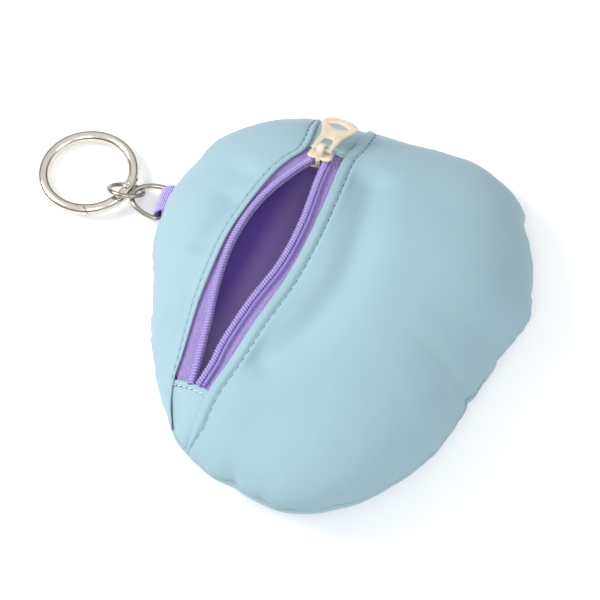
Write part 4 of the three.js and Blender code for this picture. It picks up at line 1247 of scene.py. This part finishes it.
ribs = webbing["ribHeight"] * (np.abs(np.sin(webRun * math.pi / webbing["ribPitch"])) - 0.6)
across = np.linspace(-0.5, 0.5, 44)
edgeDrop = webbing["edgeDrop"] * (np.abs(across) * 2) ** 12
curved = webLine[:, None] + sideways(webLine)[:, None] * (ribs - edgeDrop)[..., None]
aside = across * webbing["width"] + 0 * webRun
webGrid = np.stack([curved[..., 0], aside, curved[..., 1]], -1)
webFinish = Finish("violetWebbing", Roughness=0.6, Sheen_Weight=0.3)
webPlace = webFinish.node("ShaderNodeUVMap")
webBands = webFinish.waves("X", webPlace, 0.39, 0.8)
webStreak = webFinish.node("ShaderNodeTexNoise", Scale=1, Detail=2, Vector=webFinish.node(
    "ShaderNodeMapping", Vector=webPlace, Scale=(4.2, 0.9, 1)))
webShade = webFinish.ramp(webBands * 0.5 + webStreak, 0.62, 0.86)
webFinish.feed(Base_Color=webFinish.mix(webShade, colour(108, 80, 196), colour(198, 186, 238)))
webSkin = skin(placed(webGrid, barSpot), webbing["thickness"], uv=np.stack([webRun + 0 * aside, aside], -1),
               middle=None)
addPiece("webbingLoop", [webSkin], webFinish.material, "pouch", ["webbing_loop"])

nickel = Finish("brightNickel", Metallic=1.0, Roughness=0.16)
nickelCloud = nickel.noise(300, 4)
nickelScratch = nickel.noise(260, 2, stretch=(1, 14, 6))
nickel.feed(Base_Color=nickel.mix(nickelCloud, colour(226, 219, 210), colour(210, 203, 194)),
            Roughness=0.1 + nickelCloud * 0.1 + nickelScratch * 0.06,
            Normal=nickel.bump(nickelScratch, 0.05, 0.1))
darkNickel = Finish("darkerNickel", Metallic=1.0, Roughness=0.2)
darkCloud = darkNickel.noise(400, 4)
darkNickel.feed(Base_Color=darkNickel.mix(darkCloud, colour(186, 177, 166), colour(162, 153, 143)),
                Roughness=0.15 + darkCloud * 0.12)


def ringFaces(count, sides, closed=False, farEnd=True):  # between rings of points, with flat ends
    i, j = np.meshgrid(np.arange(count if closed else count - 1), np.arange(sides), indexing="ij")
    near, far, after = i * sides, (i + 1) % count * sides, (j + 1) % sides
    faces = np.stack([near + j, near + after, far + after, far + j], -1).reshape(-1, 4).tolist()
    if not closed:
        faces.append(list(range(sides))[::-1])
        if farEnd:
            faces.append([(count - 1) * sides + k for k in range(sides)])
    return faces


def ringTube(line, radius, sides, closed, spot):  # round wire along a flat line
    line = np.concatenate([line, np.zeros((len(line), 1))], 1)
    if closed:
        line = np.vstack([line[-1:], line, line[:1]])
    across = np.cross([0.0, 0, 1], unit(np.gradient(line, axis=0)))
    turn = np.linspace(0, fullTurn, sides, endpoint=False)
    rise = np.stack([0 * turn, 0 * turn, np.sin(turn) * radius], 1)
    ring = line[:, None] + across[:, None] * (np.cos(turn) * radius)[None, :, None] + rise
    if closed:
        ring = ring[1:-1]
    return placed(ring.reshape(-1, 3), spot), ringFaces(len(ring), sides, closed)


def arcPoints(radius, start, end, count):
    turn = np.linspace(start, end, count)
    return np.stack([np.cos(turn), np.sin(turn)], 1) * radius


# The D-ring's straight bar lies at x = 0, in the webbing.
dShape = {"half": 6.2, "depth": 11.2, "corner": 1.7, "wire": 1.7}
dSpot = ((-59.607, 50.408, 4.3), (-0.95457, 0.27192, 0.12187), (0.11721, -0.03339, 0.99255))
corner, straight = dShape["corner"], dShape["half"] - dShape["corner"]
bow = [dShape["depth"] - corner, dShape["half"]]
dLine = np.vstack([
    np.stack([np.zeros(10), np.linspace(-1, 1, 10) * straight], 1),
    arcPoints(corner, math.pi, math.pi / 2, 12)[1:] + [corner, straight],
    arcPoints(bow, math.pi / 2, -math.pi / 2, 70)[1:] + [corner, 0],
    arcPoints(corner, -math.pi / 2, -math.pi, 12)[1:-1] + [corner, -straight]])
addParts("dRing", [ringTube(dLine, dShape["wire"] / 2, 20, True, dSpot)], darkNickel.material,
         "d_ring_body", ["d_ring"])

jumpShape = {"radius": 5.9, "wire": 0.8, "halfGap": 0.034, "bevel": 0.12}
jumpSpot = ((-72.427, 55.868, 4.58), (0.97815, -0.20791, 0), (0.13028, 0.61291, 0.77934))
jumpLine = arcPoints(jumpShape["radius"], math.pi / 2 + jumpShape["halfGap"],
                     math.pi / 2 + fullTurn - jumpShape["halfGap"], 96)
addParts("jumpRing", [ringTube(jumpLine, jumpShape["wire"], 18, False, jumpSpot)], darkNickel.material,
         "jump_ring_body", ["jump_ring"], jumpShape["bevel"])

# The clasp's ring and gate: places along the ring are in degrees.
clasp = {
    "radius": 15.2,
    "wire": 1.9,
    "lipOuter": -94,
    "lipInner": -101.5,
    "outerSlant": 9.6,
    "innerSlant": 19.8,
    "gap": 0.16,
    "forkFloor": -12,
    "forkEnd": -50,
    "heel": -15,
    "shoulder": -51.5,
    "slot": 0.95,
    "cheek": 1.7,
    "tongue": 0.65,
    "rivet": -27,
    "rivetSides": 28,
    "rivetProfile": [(0.3, -2.5), (0.9, -2.46), (1.25, -2.3), (1.35, -2.02), (0.7, -2.0), (0.7, 2.0),
                     (1.35, 2.02), (1.25, 2.3), (1.0, 2.44), (0.62, 2.44), (0.5, 2.34), (0.2, 2.34)],
    "bevel": 0.1,
    "halfSides": 19,
}
claspSpot = ((-85.447, 64.138, 2.96), (0.99846, 0.00104, 0.05538), (-0.05538, 0.03735, 0.99777))


def lipAngle(rho):
    inner = (clasp["radius"] - rho) / (2 * clasp["wire"])
    return np.where(rho < clasp["radius"], clasp["lipInner"] - clasp["innerSlant"] * inner,
                    clasp["lipOuter"] - clasp["outerSlant"] * inner)


def onArc(rho, degrees, z):
    turn = np.radians(degrees)
    return np.stack([rho * np.cos(turn), rho * np.sin(turn), z + 0 * turn], -1)


# Round wire along part of the ring, one end cut square and the other along the closing step.
def steppedWire(square, isGate):
    split = clasp["halfSides"]  # corners on the outer half, and as many on the inner half
    last = 2 * split - 1
    phi = np.radians(np.concatenate([np.linspace(-90, 90, split), np.linspace(90, 270, split)]))
    rho = clasp["radius"] + clasp["wire"] * np.cos(phi)
    rho[[0, split - 1]] += 1e-4
    rho[[split, last]] -= 1e-4
    z = clasp["wire"] * np.sin(phi)
    gap = np.degrees(clasp["gap"] / clasp["radius"])
    end = lipAngle(rho) + (gap if isGate else 360 - gap)
    t = np.linspace(0, 1, 40 if isGate else 200)[:, None]
    ring = onArc(rho[None] + 0 * t, square * (1 - t) + end[None] * t, z[None] + 0 * t)
    count, sides = ring.shape[:2]
    faces = ringFaces(count, sides, farEnd=False)
    base = (count - 1) * sides
    for low, high in ((0, split - 1), (split, last)):
        for k in range((high - low) // 2):
            faces.append((base + low + k, base + low + k + 1, base + high - k - 1, base + high - k))
    faces.append((base + split - 1, base + split, base + last, base))
    return placed(ring.reshape(-1, 3), claspSpot), faces


def sectorBar(outline, start, end):  # a section swept round part of the ring
    rho, z = np.asarray(outline, float).T
    ring = np.stack([onArc(clasp["radius"] + rho, angle + 0 * z, z) for angle in np.linspace(start, end, 24)])
    return placed(ring.reshape(-1, 3), claspSpot), ringFaces(*ring.shape[:2])


def discSlice(low, high):
    right = arcPoints(clasp["wire"], *np.arcsin(np.array([low, high]) / clasp["wire"]), 7)
    return np.vstack([right, right[::-1] * [-1, 1]])


def rivet():
    centre = onArc(np.array(clasp["radius"]), np.array(float(clasp["rivet"])), np.array(0.0))
    turn = np.linspace(0, 360, clasp["rivetSides"], endpoint=False)
    rings = np.stack([onArc(r, turn, z) for r, z in clasp["rivetProfile"]]) + centre
    return placed(rings.reshape(-1, 3), claspSpot), ringFaces(*rings.shape[:2])


cheek = discSlice(clasp["slot"], clasp["cheek"])
tongue = discSlice(-clasp["tongue"], clasp["tongue"])
ringParts = [steppedWire(clasp["forkFloor"], False)]
for flip in (1, -1):
    ringParts.append(sectorBar(cheek[::flip] * [1, flip], clasp["forkFloor"] + 1, clasp["forkEnd"]))
gateParts = [steppedWire(clasp["shoulder"], True), sectorBar(tongue, clasp["shoulder"] - 1, clasp["heel"])]
addParts("claspRing", ringParts, nickel.material, "clasp", ["clasp_ring"], clasp["bevel"])
addParts("claspGate", gateParts, nickel.material, "gate", ["clasp_gate"], clasp["bevel"])
addParts("gateRivet", [rivet()], nickel.material, "clasp", ["gate_rivet"])
print("rings made")

for item in items:
    bpy.data.objects.remove(item)
